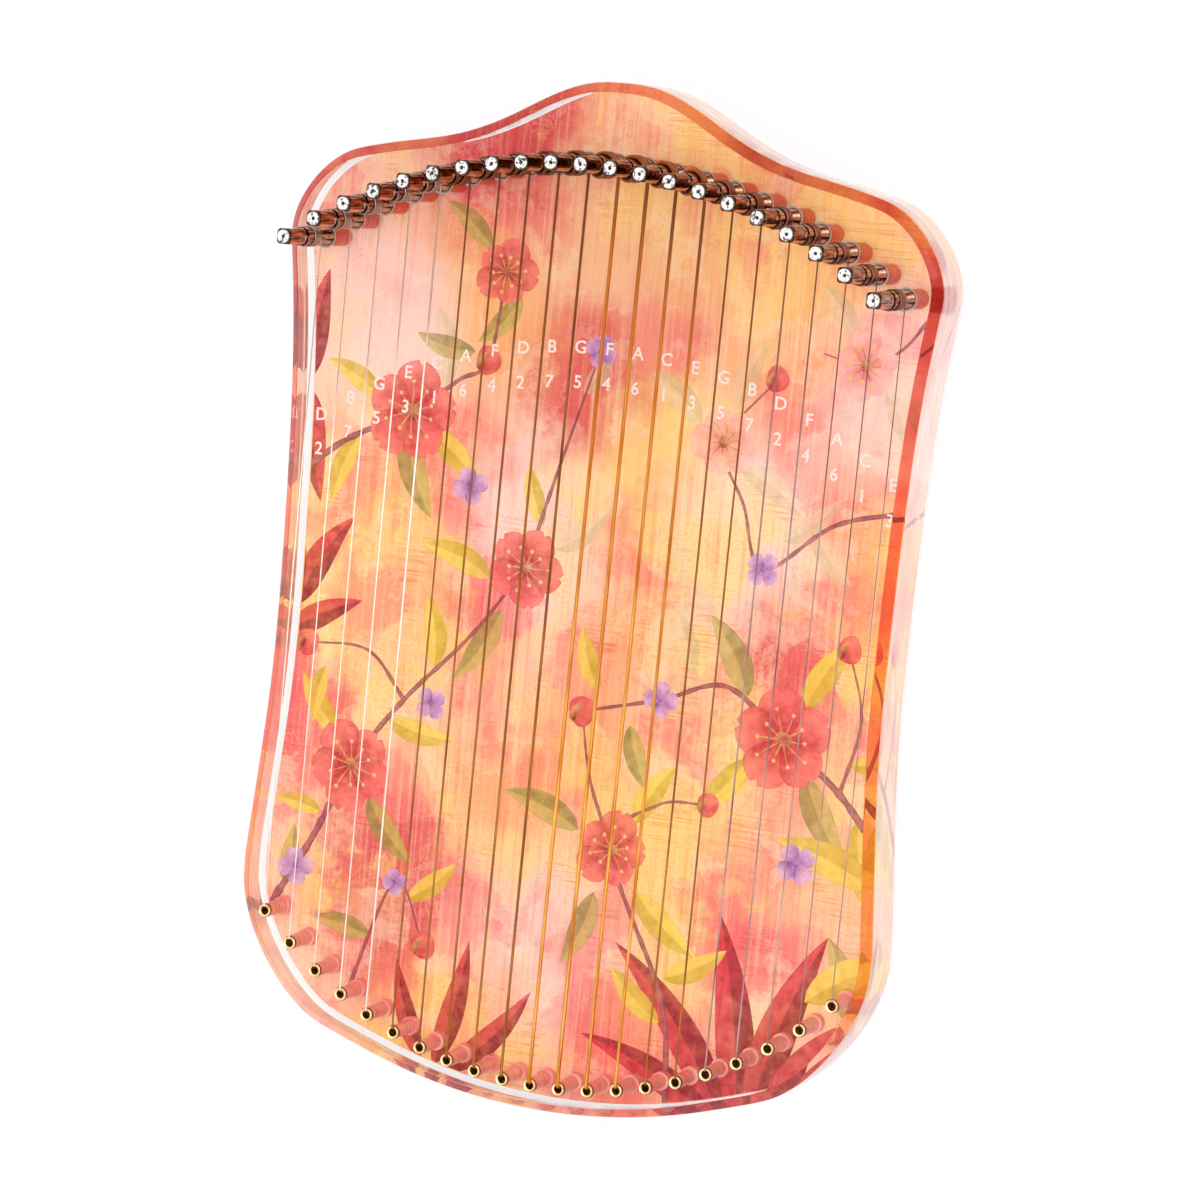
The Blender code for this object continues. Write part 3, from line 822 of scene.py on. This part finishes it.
# Leaves in each paint: x, y, heading, length, width, bend
LEAVES = {
    "olive": (
        (-58, 40, -70, 26, 8, 30), (-40, 62, 170, 18, 6, -30), (-26, -6, -120, 24, 7, -26),
        (-60, -62, -50, 22, 7, 24), (-84, -88, 80, 16, 5, 20), (-56, -100, 170, 18, 6, 20),
        (46, -20, 120, 24, 8, 30), (64, -38, -60, 26, 8, 24), (14, -32, -70, 18, 6, 20),
        (2, -62, 160, 24, 7.5, 26), (8, -78, -110, 22, 7, -24), (-28, 78, -130, 18, 6, -30),
        (-38, 90, 140, 18, 6, 24), (84, -104, 110, 26, 8, 24),
    ),
    "gold": (
        (-52, 40, -40, 22, 7, -20), (-66, 46, 150, 20, 6, 30), (-72, 36, -110, 20, 6, 24),
        (-30, 2, 160, 22, 7, 30), (-16, 18, 110, 17, 5.5, -20), (-44, -24, 100, 20, 6.5, 30),
        (-56, -40, -10, 20, 6.5, 26), (-70, -46, 130, 20, 6.5, -24), (-74, -68, 170, 14, 5, 20),
        (-76, -28, -100, 16, 5, 20), (-46, -88, 40, 18, 6, 26), (62, -22, 60, 24, 7.5, -26),
        (48, -36, -130, 22, 7, -20), (80, -48, -80, 24, 7, 20), (76, -34, 10, 14, 5, 10),
        (4, -24, 110, 18, 6, -24), (18, -58, 60, 20, 6.5, -26), (20, -76, -40, 24, 7.5, 24),
        (30, -98, 30, 20, 6.5, 24), (30, -110, 140, 20, 6.5, -24), (86, -66, 160, 30, 9, 26),
        (70, -98, 30, 30, 10, -24), (76, -110, -10, 18, 7, 20),
    ),
    "sage": (
        (-48, 52, 100, 22, 7, 40), (-12, 12, 40, 20, 6, 30), (26, 50, 140, 20, 7, 26),
        (38, 40, -30, 22, 7, -30), (36, 56, 70, 18, 6, -30), (52, 22, 40, 20, 6, 24),
        (60, 26, -50, 18, 6, 24), (66, 78, 130, 16, 5.5, 24), (76, 64, -60, 18, 6, -20),
        (30, -16, 110, 18, 6, 20), (-8, 54, 60, 16, 5, 20),
    ),
}
# Blades: x, y, heading, length, width, bend
BLADES = (
    (50, -134, 128, 56, 10, 26), (54, -133, 100, 56, 11, 14), (58, -131, 72, 54, 11, -20),
    (62, -129, 46, 44, 10, -26), (48, -134, 156, 44, 8, 22), (64, -126, 22, 32, 8, -20),
    (-30, -133, 48, 34, 7, 26), (-34, -132, 78, 36, 7, 14), (-38, -131, 110, 28, 6, -18),
    (-86, -12, 60, 30, 8, -30), (-88, -16, 90, 36, 9, -14),
    (-88, -20, 28, 24, 7, -20), (-87, 46, -80, 30, 8, 16), (-88, 50, 84, 30, 8, -14),
)


def build_blossoms():
    petals, faded, hearts = Print(5), Print(5), Print(9)
    for x, y, reach, turn in BLOSSOMS:
        # Blossoms at the upper right are printed paler, in the thinner rose paint
        layer = faded if x > 25 and y > 20 else petals
        for k in range(5):
            long = reach * (1 + 0.07 * math.sin(3.1 * k + turn))
            layer.petal((x, y), turn + 72 * k, long, long * 0.93, (-0.10, 1.05))
        hearts.disc((x, y), reach * 0.17, 0.2)
        for k in range(10):
            angle = turn + 36 * k + 9
            long = reach * (0.42 + 0.08 * (k % 3))
            tip_x, tip_y = hearts.blade((x, y), angle, long, 0.5, 10, 0.5, (0.3, 0.6), 6)
            a = math.radians(angle)
            hearts.disc((tip_x + 0.2 * math.cos(a), tip_y + 0.2 * math.sin(a)), 0.55, 0.9)
    for x, y, radius in BUDS:
        petals.disc((x, y), radius, 0.5, 1.1)
        foot = (x - radius * 0.7, y - radius * 0.8)
        hearts.blade(foot, 70, radius * 1.6, radius * 0.7, -40, 0.4, (0.2, 0.4), 8)
    petals.finish("blossoms", "coral")
    faded.finish("faded", "rose")
    hearts.finish("hearts", "heart")


def build_lilacs():
    flowers = Print(7)
    for x, y, reach, turn in LILACS:
        for k in range(4):
            flowers.petal((x, y), turn + 90 * k, reach, reach * 0.95, (0.1, 0.85))
        flowers.disc((x, y), reach * 0.16, 0.0)
    flowers.finish("lilacs", "lilac")


def build_foliage():
    for paint, places in LEAVES.items():
        leaves = Print(2)
        for x, y, heading, length, width, bend in places:
            leaves.blade((x, y), heading, length, width, bend, 0.42, (0.25, 0.8))
        leaves.finish("leaves_" + paint, paint)


def build_stems():
    stems = Print(4)
    for points, width in STEMS:
        stems.stem(points, width)
    stems.finish("stems", "stem")


def build_blades():
    blades = Print(1)
    for x, y, heading, length, width, bend in BLADES:
        blades.blade((x, y), heading, length, width, bend, 0.38, (0.15, 0.75), 40)
    blades.finish("blades", "crimson")


# Note marks: beside each string its note, and under that the note's number in the scale

SCALE = "CDEFGAB"
NOTES = "DBGECAFDBGFACEGBDFACE"
MARK_SIZE = 0.0048
MARK_LEFT_OF_STRING = 0.0017
MARK_BELOW_PINS = 0.0488
MARK_ROW_STEP = 0.0093
MARK_RISE = 0.00013


def mark_mesh(letter):
    curve = bpy.data.curves.new("mark", "FONT")
    curve.body = letter
    curve.size = MARK_SIZE
    curve.align_x = "CENTER"
    curve.align_y = "CENTER"
    curve.resolution_u = 3
    curve.offset = 0.00008
    helper = added("mark", curve)
    bpy.context.view_layer.update()
    graph = bpy.context.evaluated_depsgraph_get()
    mesh = bpy.data.meshes.new_from_object(helper.evaluated_get(graph))
    bpy.data.objects.remove(helper, do_unlink=True)
    return mesh


def build_marks():
    n = Nodes("mark_white")
    worn = n.noise(n.place(), 1800.0, 4.0, 0.7)
    n.set(Base_Color=n.mix(n.ramp(worn, 0.35, 0.6), srgb(252, 214, 200), srgb(255, 250, 246)))
    n.set(Roughness=n.ramp(worn, 0.3, 0.7, 0.5, 0.7))
    bm = bmesh.new()
    made = {letter: mark_mesh(letter) for letter in SCALE + "1234567"}
    for note, (hole_x, _), (_, pin_y) in zip(NOTES, HOLE_PLACES, PIN_PLACES):
        for row, letter in enumerate((note, str(SCALE.index(note) + 1))):
            before = len(bm.verts)
            bm.from_mesh(made[letter])
            bm.verts.ensure_lookup_table()
            place = (hole_x - MARK_LEFT_OF_STRING, pin_y - MARK_BELOW_PINS - row * MARK_ROW_STEP)
            for vert in bm.verts[before:]:
                vert.co += Vector((*place, FILM_TOP + MARK_RISE))
    piece_from(bm, "note_marks", [n.material], sharp=None)


# Pins


def pin_material():
    """Nickel plate with a warm cast. Dark and bright streaks along the rod are painted reflections; the end
    face is painted bright as a highlight, with dark scuffs; painted shade lies in the groove, around the
    end face and in its dimple.
    """
    n = Nodes("nickel_plate")
    place = n.place()
    marks = n.stretched((60.0, 60.0, 5200.0), 2.0)
    # Dark and bright streaks along the rod: painted reflections
    painted_reflection_streaks = n.stretched((1500.0, 1500.0, 110.0), 3.0)
    smear = n.noise(place, 420.0, 3.0)
    metal = n.mix(n.ramp(painted_reflection_streaks, 0.40, 0.60), srgb(60, 24, 16), srgb(204, 140, 110))
    own = n.scaled(n.add("ShaderNodeObjectInfo").outputs["Location"], (37.0, 53.0, 0.0))
    # The end face is painted near-white as a highlight, with darker scuffs of wear on it
    scuffs = n.noise(n.shifted(place, own), 1100.0, 3.0, 0.6)
    worn = n.mix(n.ramp(scuffs, 0.53, 0.62), srgb(255, 253, 250), srgb(96, 78, 70))
    metal = n.mix(n.attribute("painted_highlight"), metal, worn)
    n.set(Base_Color=n.mix(n.attribute("shade"), metal, srgb(14, 9, 9)), Metallic=1.0)
    n.set(Roughness=n.ramp(smear, 0.3, 0.7, 0.08, 0.24))
    n.bump(marks, 0.00001, 0.5)
    return n.material


def head_ring(z, round_to=None, share=0.0):
    """The squared head: a round rod with four flats, going over to a circle by share."""
    points = []
    for x, y, _ in ring((0.0, 0.0), PIN_RADIUS, z, PIN_SIDES, 0.5):
        reach = min(1.0, PIN_HEAD_FLATS / 2 / max(abs(x), abs(y)))
        if round_to:
            reach = (1 - share) * reach + share * round_to / PIN_RADIUS
        points.append((x * reach, y * reach, z))
    return points


def pin_profile():
    """Rings of the pin from its foot to its tip, each with its painted shade and its painted highlight."""
    rows = []

    def add(radius, z, shade=0.0, painted_highlight=0.0):
        rows.append((ring((0.0, 0.0), radius, z, PIN_SIDES, 0.5), shade, painted_highlight))

    add(0.0004, PIN_FOOT)
    add(PIN_RADIUS - 0.0006, PIN_FOOT)
    z = PIN_FOOT + 0.0006
    while z < THREAD_TOP:
        add(PIN_RADIUS, z)
        add(PIN_RADIUS, z + THREAD_CREST)
        add(PIN_RADIUS - THREAD_DEPTH, z + THREAD_PITCH / 2)
        z += THREAD_PITCH
    add(PIN_RADIUS, z)
    add(PIN_RADIUS, GROOVE_LOW)
    for depth, inset in ((0.00002, 0.00002), (GROOVE_DEPTH, 0.00030)):
        add(PIN_RADIUS - depth, GROOVE_LOW + inset, 1.0)
    for depth, inset in ((GROOVE_DEPTH, 0.00030), (0.00002, 0.00002)):
        add(PIN_RADIUS - depth, GROOVE_HIGH - inset, 1.0)
    # A thin painted highlight just above the groove
    add(PIN_RADIUS, GROOVE_HIGH, 0.0, 0.6)
    add(PIN_RADIUS, GROOVE_HIGH + 0.00012, 0.0, 0.6)
    add(PIN_RADIUS, GROOVE_HIGH + 0.00014)
    rows.append((head_ring(PIN_HEAD_BOTTOM), 0.0, 0.0))
    rows.append((head_ring(PIN_HEIGHT - 0.00075), 0.0, 0.0))
    for drop, share in ((0.00062, 0.10), (0.00045, 0.34), (0.00026, 0.66)):
        rows.append((head_ring(PIN_HEIGHT - drop, 0.00182, share), 0.80, 0.0))
    rows.append((head_ring(PIN_HEIGHT - 0.00010, 0.00172, 0.94), 0.55, 0.5))
    # The end face, painted bright as a highlight
    add(PIN_TIP_RADIUS, PIN_HEIGHT, 0.0, 1.0)
    add(PIN_DIMPLE_RADIUS, PIN_HEIGHT, 0.0, 1.0)
    add(PIN_DIMPLE_RADIUS - 0.00008, PIN_HEIGHT - 0.00008, 0.4, 1.0)
    add(PIN_DIMPLE_RADIUS - 0.00024, PIN_HEIGHT - 0.00024, 0.9, 0.2)
    add(PIN_DIMPLE_RADIUS - 0.00048, PIN_HEIGHT - 0.00030, 0.9, 0.2)
    return rows


def pin_mesh():
    bm = bmesh.new()
    dark = bm.verts.layers.float.new("shade")
    bright = bm.verts.layers.float.new("painted_highlight")
    profile = pin_profile()
    rows = skin(bm, [points for points, _, _ in profile], cap_low=True, cap_high=True)
    for row, (_, shade, painted_highlight) in zip(rows, profile):
        for vert in row:
            vert[dark] = shade
            vert[bright] = painted_highlight
    return mesh_from(bm, "tuning_pin", [pin_material()], 26.0)


def build_pins():
    mesh = pin_mesh()
    for name, (x, y) in zip(PIN_NAMES, PIN_PLACES):
        place_piece(mesh, name + "_turned", name, name, (x, y, PLATE_FRONT))


# Strings


def wire_material(name, dark, light, near_pins, roughness):
    """Drawn wire: its colour drifts towards near_pins, and is brown where it winds on a pin."""
    n = Nodes(name)
    along = n.stretched((900.0, 60.0, 900.0), 3.0)
    _, up_plate, height = n.split(n.place())
    color = n.mix(n.ramp(along, 0.3, 0.7), dark, light)
    color = n.mix(n.ramp(up_plate, -0.06, 0.10, 0.0, 0.7), color, near_pins)
    color = n.mix(n.ramp(height, 0.0291, 0.0297, 0.0, 0.75), color, srgb(124, 74, 52))
    n.set(Base_Color=color, Metallic=1.0)
    n.set(Roughness=n.ramp(along, 0.3, 0.7, roughness, roughness + 0.15))
    return n.material


def brass_material():
    n = Nodes("eyelet_brass")
    place = n.place()
    tarnish = n.noise(place, 700.0, 4.0)
    brass = n.mix(n.ramp(tarnish, 0.35, 0.7), srgb(248, 204, 120), srgb(255, 244, 196))
    n.set(Base_Color=n.mix(n.attribute("shade"), brass, srgb(70, 34, 18)), Metallic=1.0)
    n.set(Roughness=n.ramp(tarnish, 0.3, 0.7, 0.18, 0.34))
    n.bump(n.noise(place, 2600.0, 2.0), 0.00001, 0.4)
    return n.material


def frame_along(points):
    """Two unit vectors square to the line at each point, carried along without twisting."""
    tangents = np.gradient(points, axis=0)
    tangents /= np.linalg.norm(tangents, axis=1, keepdims=True)
    side = np.cross(tangents[0], (0.0, 0.0, 1.0))
    if np.linalg.norm(side) < 0.1:
        side = np.cross(tangents[0], (0.0, 1.0, 0.0))
    sides = []
    for tangent in tangents:
        side = side - tangent * (side @ tangent)
        side /= np.linalg.norm(side)
        sides.append(side)
    sides = np.array(sides)
    return sides, np.cross(tangents, sides)


def tube(bm, points, radii, sides):
    turns = [2 * math.pi * i / sides for i in range(sides)]
    rings = []
    for point, radius, across, over in zip(points, radii, *frame_along(points)):
        rings.append([tuple(point + radius * (math.cos(t) * across + math.sin(t) * over)) for t in turns])
    skin(bm, rings, cap_low=True, cap_high=True)


def smooth_line(points, spacing):
    """A rounded line through the points, sampled about every spacing."""
    points = np.array(points, float)
    ends = np.concatenate([[2 * points[0] - points[1]], points, [2 * points[-1] - points[-2]]])
    line = []
    for p0, p1, p2, p3 in zip(ends, ends[1:], ends[2:], ends[3:]):
        steps = max(2, int(np.linalg.norm(p2 - p1) / spacing))
        for t in np.arange(steps) / steps:
            line.append(0.5 * (2 * p1 + (p2 - p0) * t + (2 * p0 - 5 * p1 + 4 * p2 - p3) * t**2
                               + (3 * p1 - p0 - 3 * p2 + p3) * t**3))
    line.append(points[-1])
    return np.array(line)


def winding_line(index, gauge):
    """Close turns up the pin from where the string arrives, and the end tucked into the eye."""
    x, y = PIN_PLACES[index]
    radius = PIN_RADIUS + gauge / 2 + WINDING_CLEARANCE
    low = PLATE_FRONT + STRING_RISE_MIDDLE + STRING_RISE_PER_STEP * abs(index - MIDDLE)
    rise = gauge * 1.06
    turns = max(2.5, round(WINDING_HEIGHT / rise) + 0.5)
    top, eye = low + rise * turns, PLATE_FRONT + PIN_EYE_HEIGHT
    points = []

    def add(turned_by, z, inner=0.0):
        angle = 2 * math.pi * turned_by
        points.append((x + (radius - inner) * math.cos(angle), y + (radius - inner) * math.sin(angle), z))

    for step in range(round(turns * WINDING_STEPS) + 1):
        add(step / WINDING_STEPS, low + rise * step / WINDING_STEPS)
    for step in range(1, 13):
        share = step / 12
        add(turns + share / 2, top + (eye - top) * share**1.2)
    for inner in (0.0003, 0.0007, 0.0012):
        add(turns + 0.5, eye, inner)
    return points


def string_line(index, gauge):
    """The string from its ball end over the eyelet's rim to its pin, and its turns there."""
    x, y = HOLE_PLACES[index]
    inside = min(0.0005, EYELET_BORE_RADIUS - gauge / 2)
    rim = np.array((x, y + EYELET_BORE_RADIUS + 0.00010, PLATE_FRONT + EYELET_TOP + gauge / 2))
    start = smooth_line([
        (x, y, PLATE_BACK + COUNTERBORE_DEPTH - 0.0012),
        (x, y + inside * 0.2, PLATE_FRONT - 0.0100),
        (x, y + inside * 0.6, PLATE_FRONT - 0.0040),
        (x, y + inside, PLATE_FRONT - 0.0006),
        rim,
    ], 0.0006)
    turns = np.array(winding_line(index, gauge))
    run = [rim + (turns[0] - rim) * t for t in np.linspace(0.004, 1.0, 60)[:-1]]
    return np.concatenate([start, run, turns])


def ribbed(line, gauge):
    """The line divided finely, with radii that rise and fall as each turn of wrap does."""
    steps = np.linalg.norm(np.diff(line, axis=0), axis=1)
    along = np.concatenate([[0.0], np.cumsum(steps)])
    count = int(along[-1] / WRAP_SPACING)
    at = np.linspace(0.0, along[-1], count)
    fine = np.stack([np.interp(at, along, line[:, k]) for k in range(3)], axis=1)
    radii = np.where(np.arange(count) % 2 == 0, gauge / 2, gauge / 2 - WRAP_DEPTH)
    return fine, radii


def build_strings():
    pale = wire_material("steel_pale", srgb(236, 204, 190), srgb(254, 238, 228), srgb(255, 236, 226), 0.3)
    mauve = wire_material("steel_mauve", srgb(128, 92, 92), srgb(206, 174, 172), srgb(112, 76, 76), 0.25)
    brown = wire_material("bronze_brown", srgb(126, 76, 38), srgb(190, 128, 66), srgb(122, 60, 28), 0.3)
    golden = wire_material("bronze_golden", srgb(190, 104, 34), srgb(250, 190, 92), srgb(190, 88, 26), 0.28)
    brass = brass_material()
    for index, (name, gauge) in enumerate(zip(STRING_NAMES, STRING_GAUGES)):
        line = string_line(index, gauge)
        bm = bmesh.new()
        if gauge > WOUND_FROM:
            look, slot = golden if gauge > GOLDEN_FROM else brown, "wound_bronze"
            tube(bm, *ribbed(line, gauge), WIRE_SIDES)
        else:
            look, slot = pale if index < MIDDLE else mauve, "plain_steel"
            tube(bm, line, np.full(len(line), gauge / 2), WIRE_SIDES)
        piece_from(bm, name + "_wire", [look], name)
        build_eyelet(index, brass)
        build_ball(index, brass)


def build_eyelet(index, look):
    bore, rim = EYELET_BORE_RADIUS, EYELET_FLANGE_RADIUS
    bottom, low, top = PLATE_FRONT - EYELET_DEPTH, PLATE_FRONT + 0.00002, PLATE_FRONT + EYELET_TOP
    profile = [
        (bore + 0.00012, bottom), (EYELET_TUBE_RADIUS, bottom), (EYELET_TUBE_RADIUS, low),
        (rim - 0.00010, low), (rim, low + 0.00014), (rim - 0.00006, low + 0.00036),
        (rim - 0.00022, top - 0.00008), (rim - 0.00036, top), (bore + 0.00012, top - 0.00006),
        (bore, top - 0.00022), (bore + 0.00004, top - 0.0006),
    ]
    bm = bmesh.new()
    dark = bm.verts.layers.float.new("shade")
    rows = turned(bm, HOLE_PLACES[index], profile, EYELET_SIDES)
    bridge(bm, rows[-1], rows[0])
    for row in rows[2:6]:
        for vert in row:
            vert[dark] = 1.0
    outward(bm)
    piece_from(bm, f"eyelet_{index + 1:02d}", [look])


def build_ball(index, look):
    top = PLATE_BACK + COUNTERBORE_DEPTH - 0.00002
    low = top - BALL_HEIGHT
    waist = BALL_RADIUS - 0.00045
    middle = (top + low) / 2
    bm = bmesh.new()
    turned(bm, HOLE_PLACES[index], [
        (0.0007, low + 0.0004), (0.0009, low), (BALL_RADIUS - 0.0002, low), (BALL_RADIUS, low + 0.0002),
        (BALL_RADIUS, low + 0.0007), (waist, middle - 0.0004), (waist, middle + 0.0004),
        (BALL_RADIUS, top - 0.0007), (BALL_RADIUS, top - 0.0002), (BALL_RADIUS - 0.0002, top),
    ], BALL_SIDES, cap_low=True, cap_high=True)
    outward(bm)
    piece_from(bm, f"ball_end_{index + 1:02d}", [look])


# Feet: shares of the radius at heights above the table

FOOT_SIDES = 64
FOOT_PROFILE = ((0.62, 0.0), (0.70, 0.00002), (0.82, 0.0003), (0.93, 0.0009), (0.99, 0.0017))


def foot_material():
    n = Nodes("clear_silicone")
    place = n.place()
    cloud = n.noise(place, 300.0, 3.0)
    n.set(Base_Color=n.mix(cloud, srgb(228, 224, 220), srgb(246, 244, 242)), IOR=1.41)
    n.set(Roughness=n.ramp(cloud, 0.3, 0.7, 0.25, 0.45), Transmission_Weight=0.55)
    n.bump(n.noise(place, 1500.0, 2.0), 0.00002, 0.5)
    return n.material


def build_feet():
    look = foot_material()
    for name in FEET:
        low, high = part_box(name)
        radius = (high.x - low.x) / 2
        profile = [(radius * share, low.z + rise) for share, rise in FOOT_PROFILE]
        profile += [(radius, high.z - 0.0001), (radius, high.z)]
        bm = bmesh.new()
        turned(bm, ((low + high) / 2)[:2], profile, FOOT_SIDES, cap_low=True, cap_high=True)
        outward(bm)
        piece_from(bm, name + "_dome", [look], name, 40.0)


# Light, floor and camera

WHITE = (1.0, 1.0, 1.0)
FLOOR_HALF = 6.0
FLOOR_DROP = 0.0002
FLOOR_GLOW = 0.7
CAMERA_PLACE = (0.44938, 0.14120, 1.14581)
CAMERA_TURN = (-4.539, 22.181, 5.624)


def floor_material():
    """A pale floor, bright to the camera, that still takes the object's shadow."""
    n = Nodes("floor_paper")
    grain = n.noise(n.place(), 80.0, 3.0)
    color = n.mix(grain, (0.93, 0.93, 0.93), (0.97, 0.97, 0.97))
    n.set(Base_Color=color, Roughness=0.9, Specular_IOR_Level=0.0)
    glow = n.add("ShaderNodeEmission")
    n.put(glow.inputs["Color"], WHITE)
    path = n.add("ShaderNodeLightPath").outputs
    seen = n.math("MAXIMUM", path["Is Camera Ray"], path["Is Glossy Ray"])
    seen = n.math("MAXIMUM", seen, path["Is Transmission Ray"])
    n.show(n.mix_shaders(n.times(seen, FLOOR_GLOW), n.shader.outputs[0], glow.outputs[0]))
    return n.material


def build_floor():
    bm = bmesh.new()
    corners = ((-1, -1), (1, -1), (1, 1), (-1, 1))
    bm.faces.new([bm.verts.new((FLOOR_HALF * x, FLOOR_HALF * y, -FLOOR_DROP)) for x, y in corners])
    obj = added("floor", mesh_from(bm, "floor", [floor_material()], sharp=None))


def build_world():
    """Even pale light all round, which is plain white to the camera and in mirrors."""
    world = bpy.data.worlds.new("studio")
    bpy.context.scene.world = world
    world.use_nodes = True
    n = Nodes(tree=world.node_tree)
    base, white = n.tree.nodes["Background"], n.add("ShaderNodeBackground")
    for background, color, strength in ((base, (0.97, 0.98, 1.0), 0.88), (white, WHITE, 1.0)):
        n.put(background.inputs["Color"], color)
        n.put(background.inputs["Strength"], strength)
    path = n.add("ShaderNodeLightPath").outputs
    seen = n.math("MAXIMUM", path["Is Camera Ray"], path["Is Glossy Ray"])
    n.show(n.mix_shaders(seen, base.outputs[0], white.outputs[0]))


def area_light(name, place, aim, size, size_y, power):
    data = bpy.data.lights.new(name, "AREA")
    data.shape = "RECTANGLE"
    data.size = size
    data.size_y = size_y
    data.energy = power
    turn = (Vector(aim) - Vector(place)).to_track_quat("-Z", "Y")
    added(name, data, place).rotation_euler = turn.to_euler()


def build_lights():
    area_light("key_softbox", (0.20, 0.05, 1.90), (0.0, 0.05, 0.0), 0.9, 0.9, 12.0)
    area_light("side_softbox", (0.9, 0.62, 0.46), (0.05, 0.10, 0.03), 0.42, 0.30, 1.5)


def build_camera():
    data = bpy.data.cameras.new("camera")
    data.sensor_width = 36.0
    data.lens = 138.63
    data.shift_x = 0.01133
    data.shift_y = 0.0022
    camera = added("camera", data, CAMERA_PLACE)
    camera.rotation_euler = [math.radians(angle) for angle in CAMERA_TURN]
    bpy.context.scene.camera = camera


build_plate()
build_film()
build_blades()
build_foliage()
build_stems()
build_blossoms()
build_lilacs()
build_marks()
build_pins()
build_strings()
build_feet()
build_floor()
build_world()
build_lights()
build_camera()
bpy.context.scene.view_settings.view_transform = "Standard"
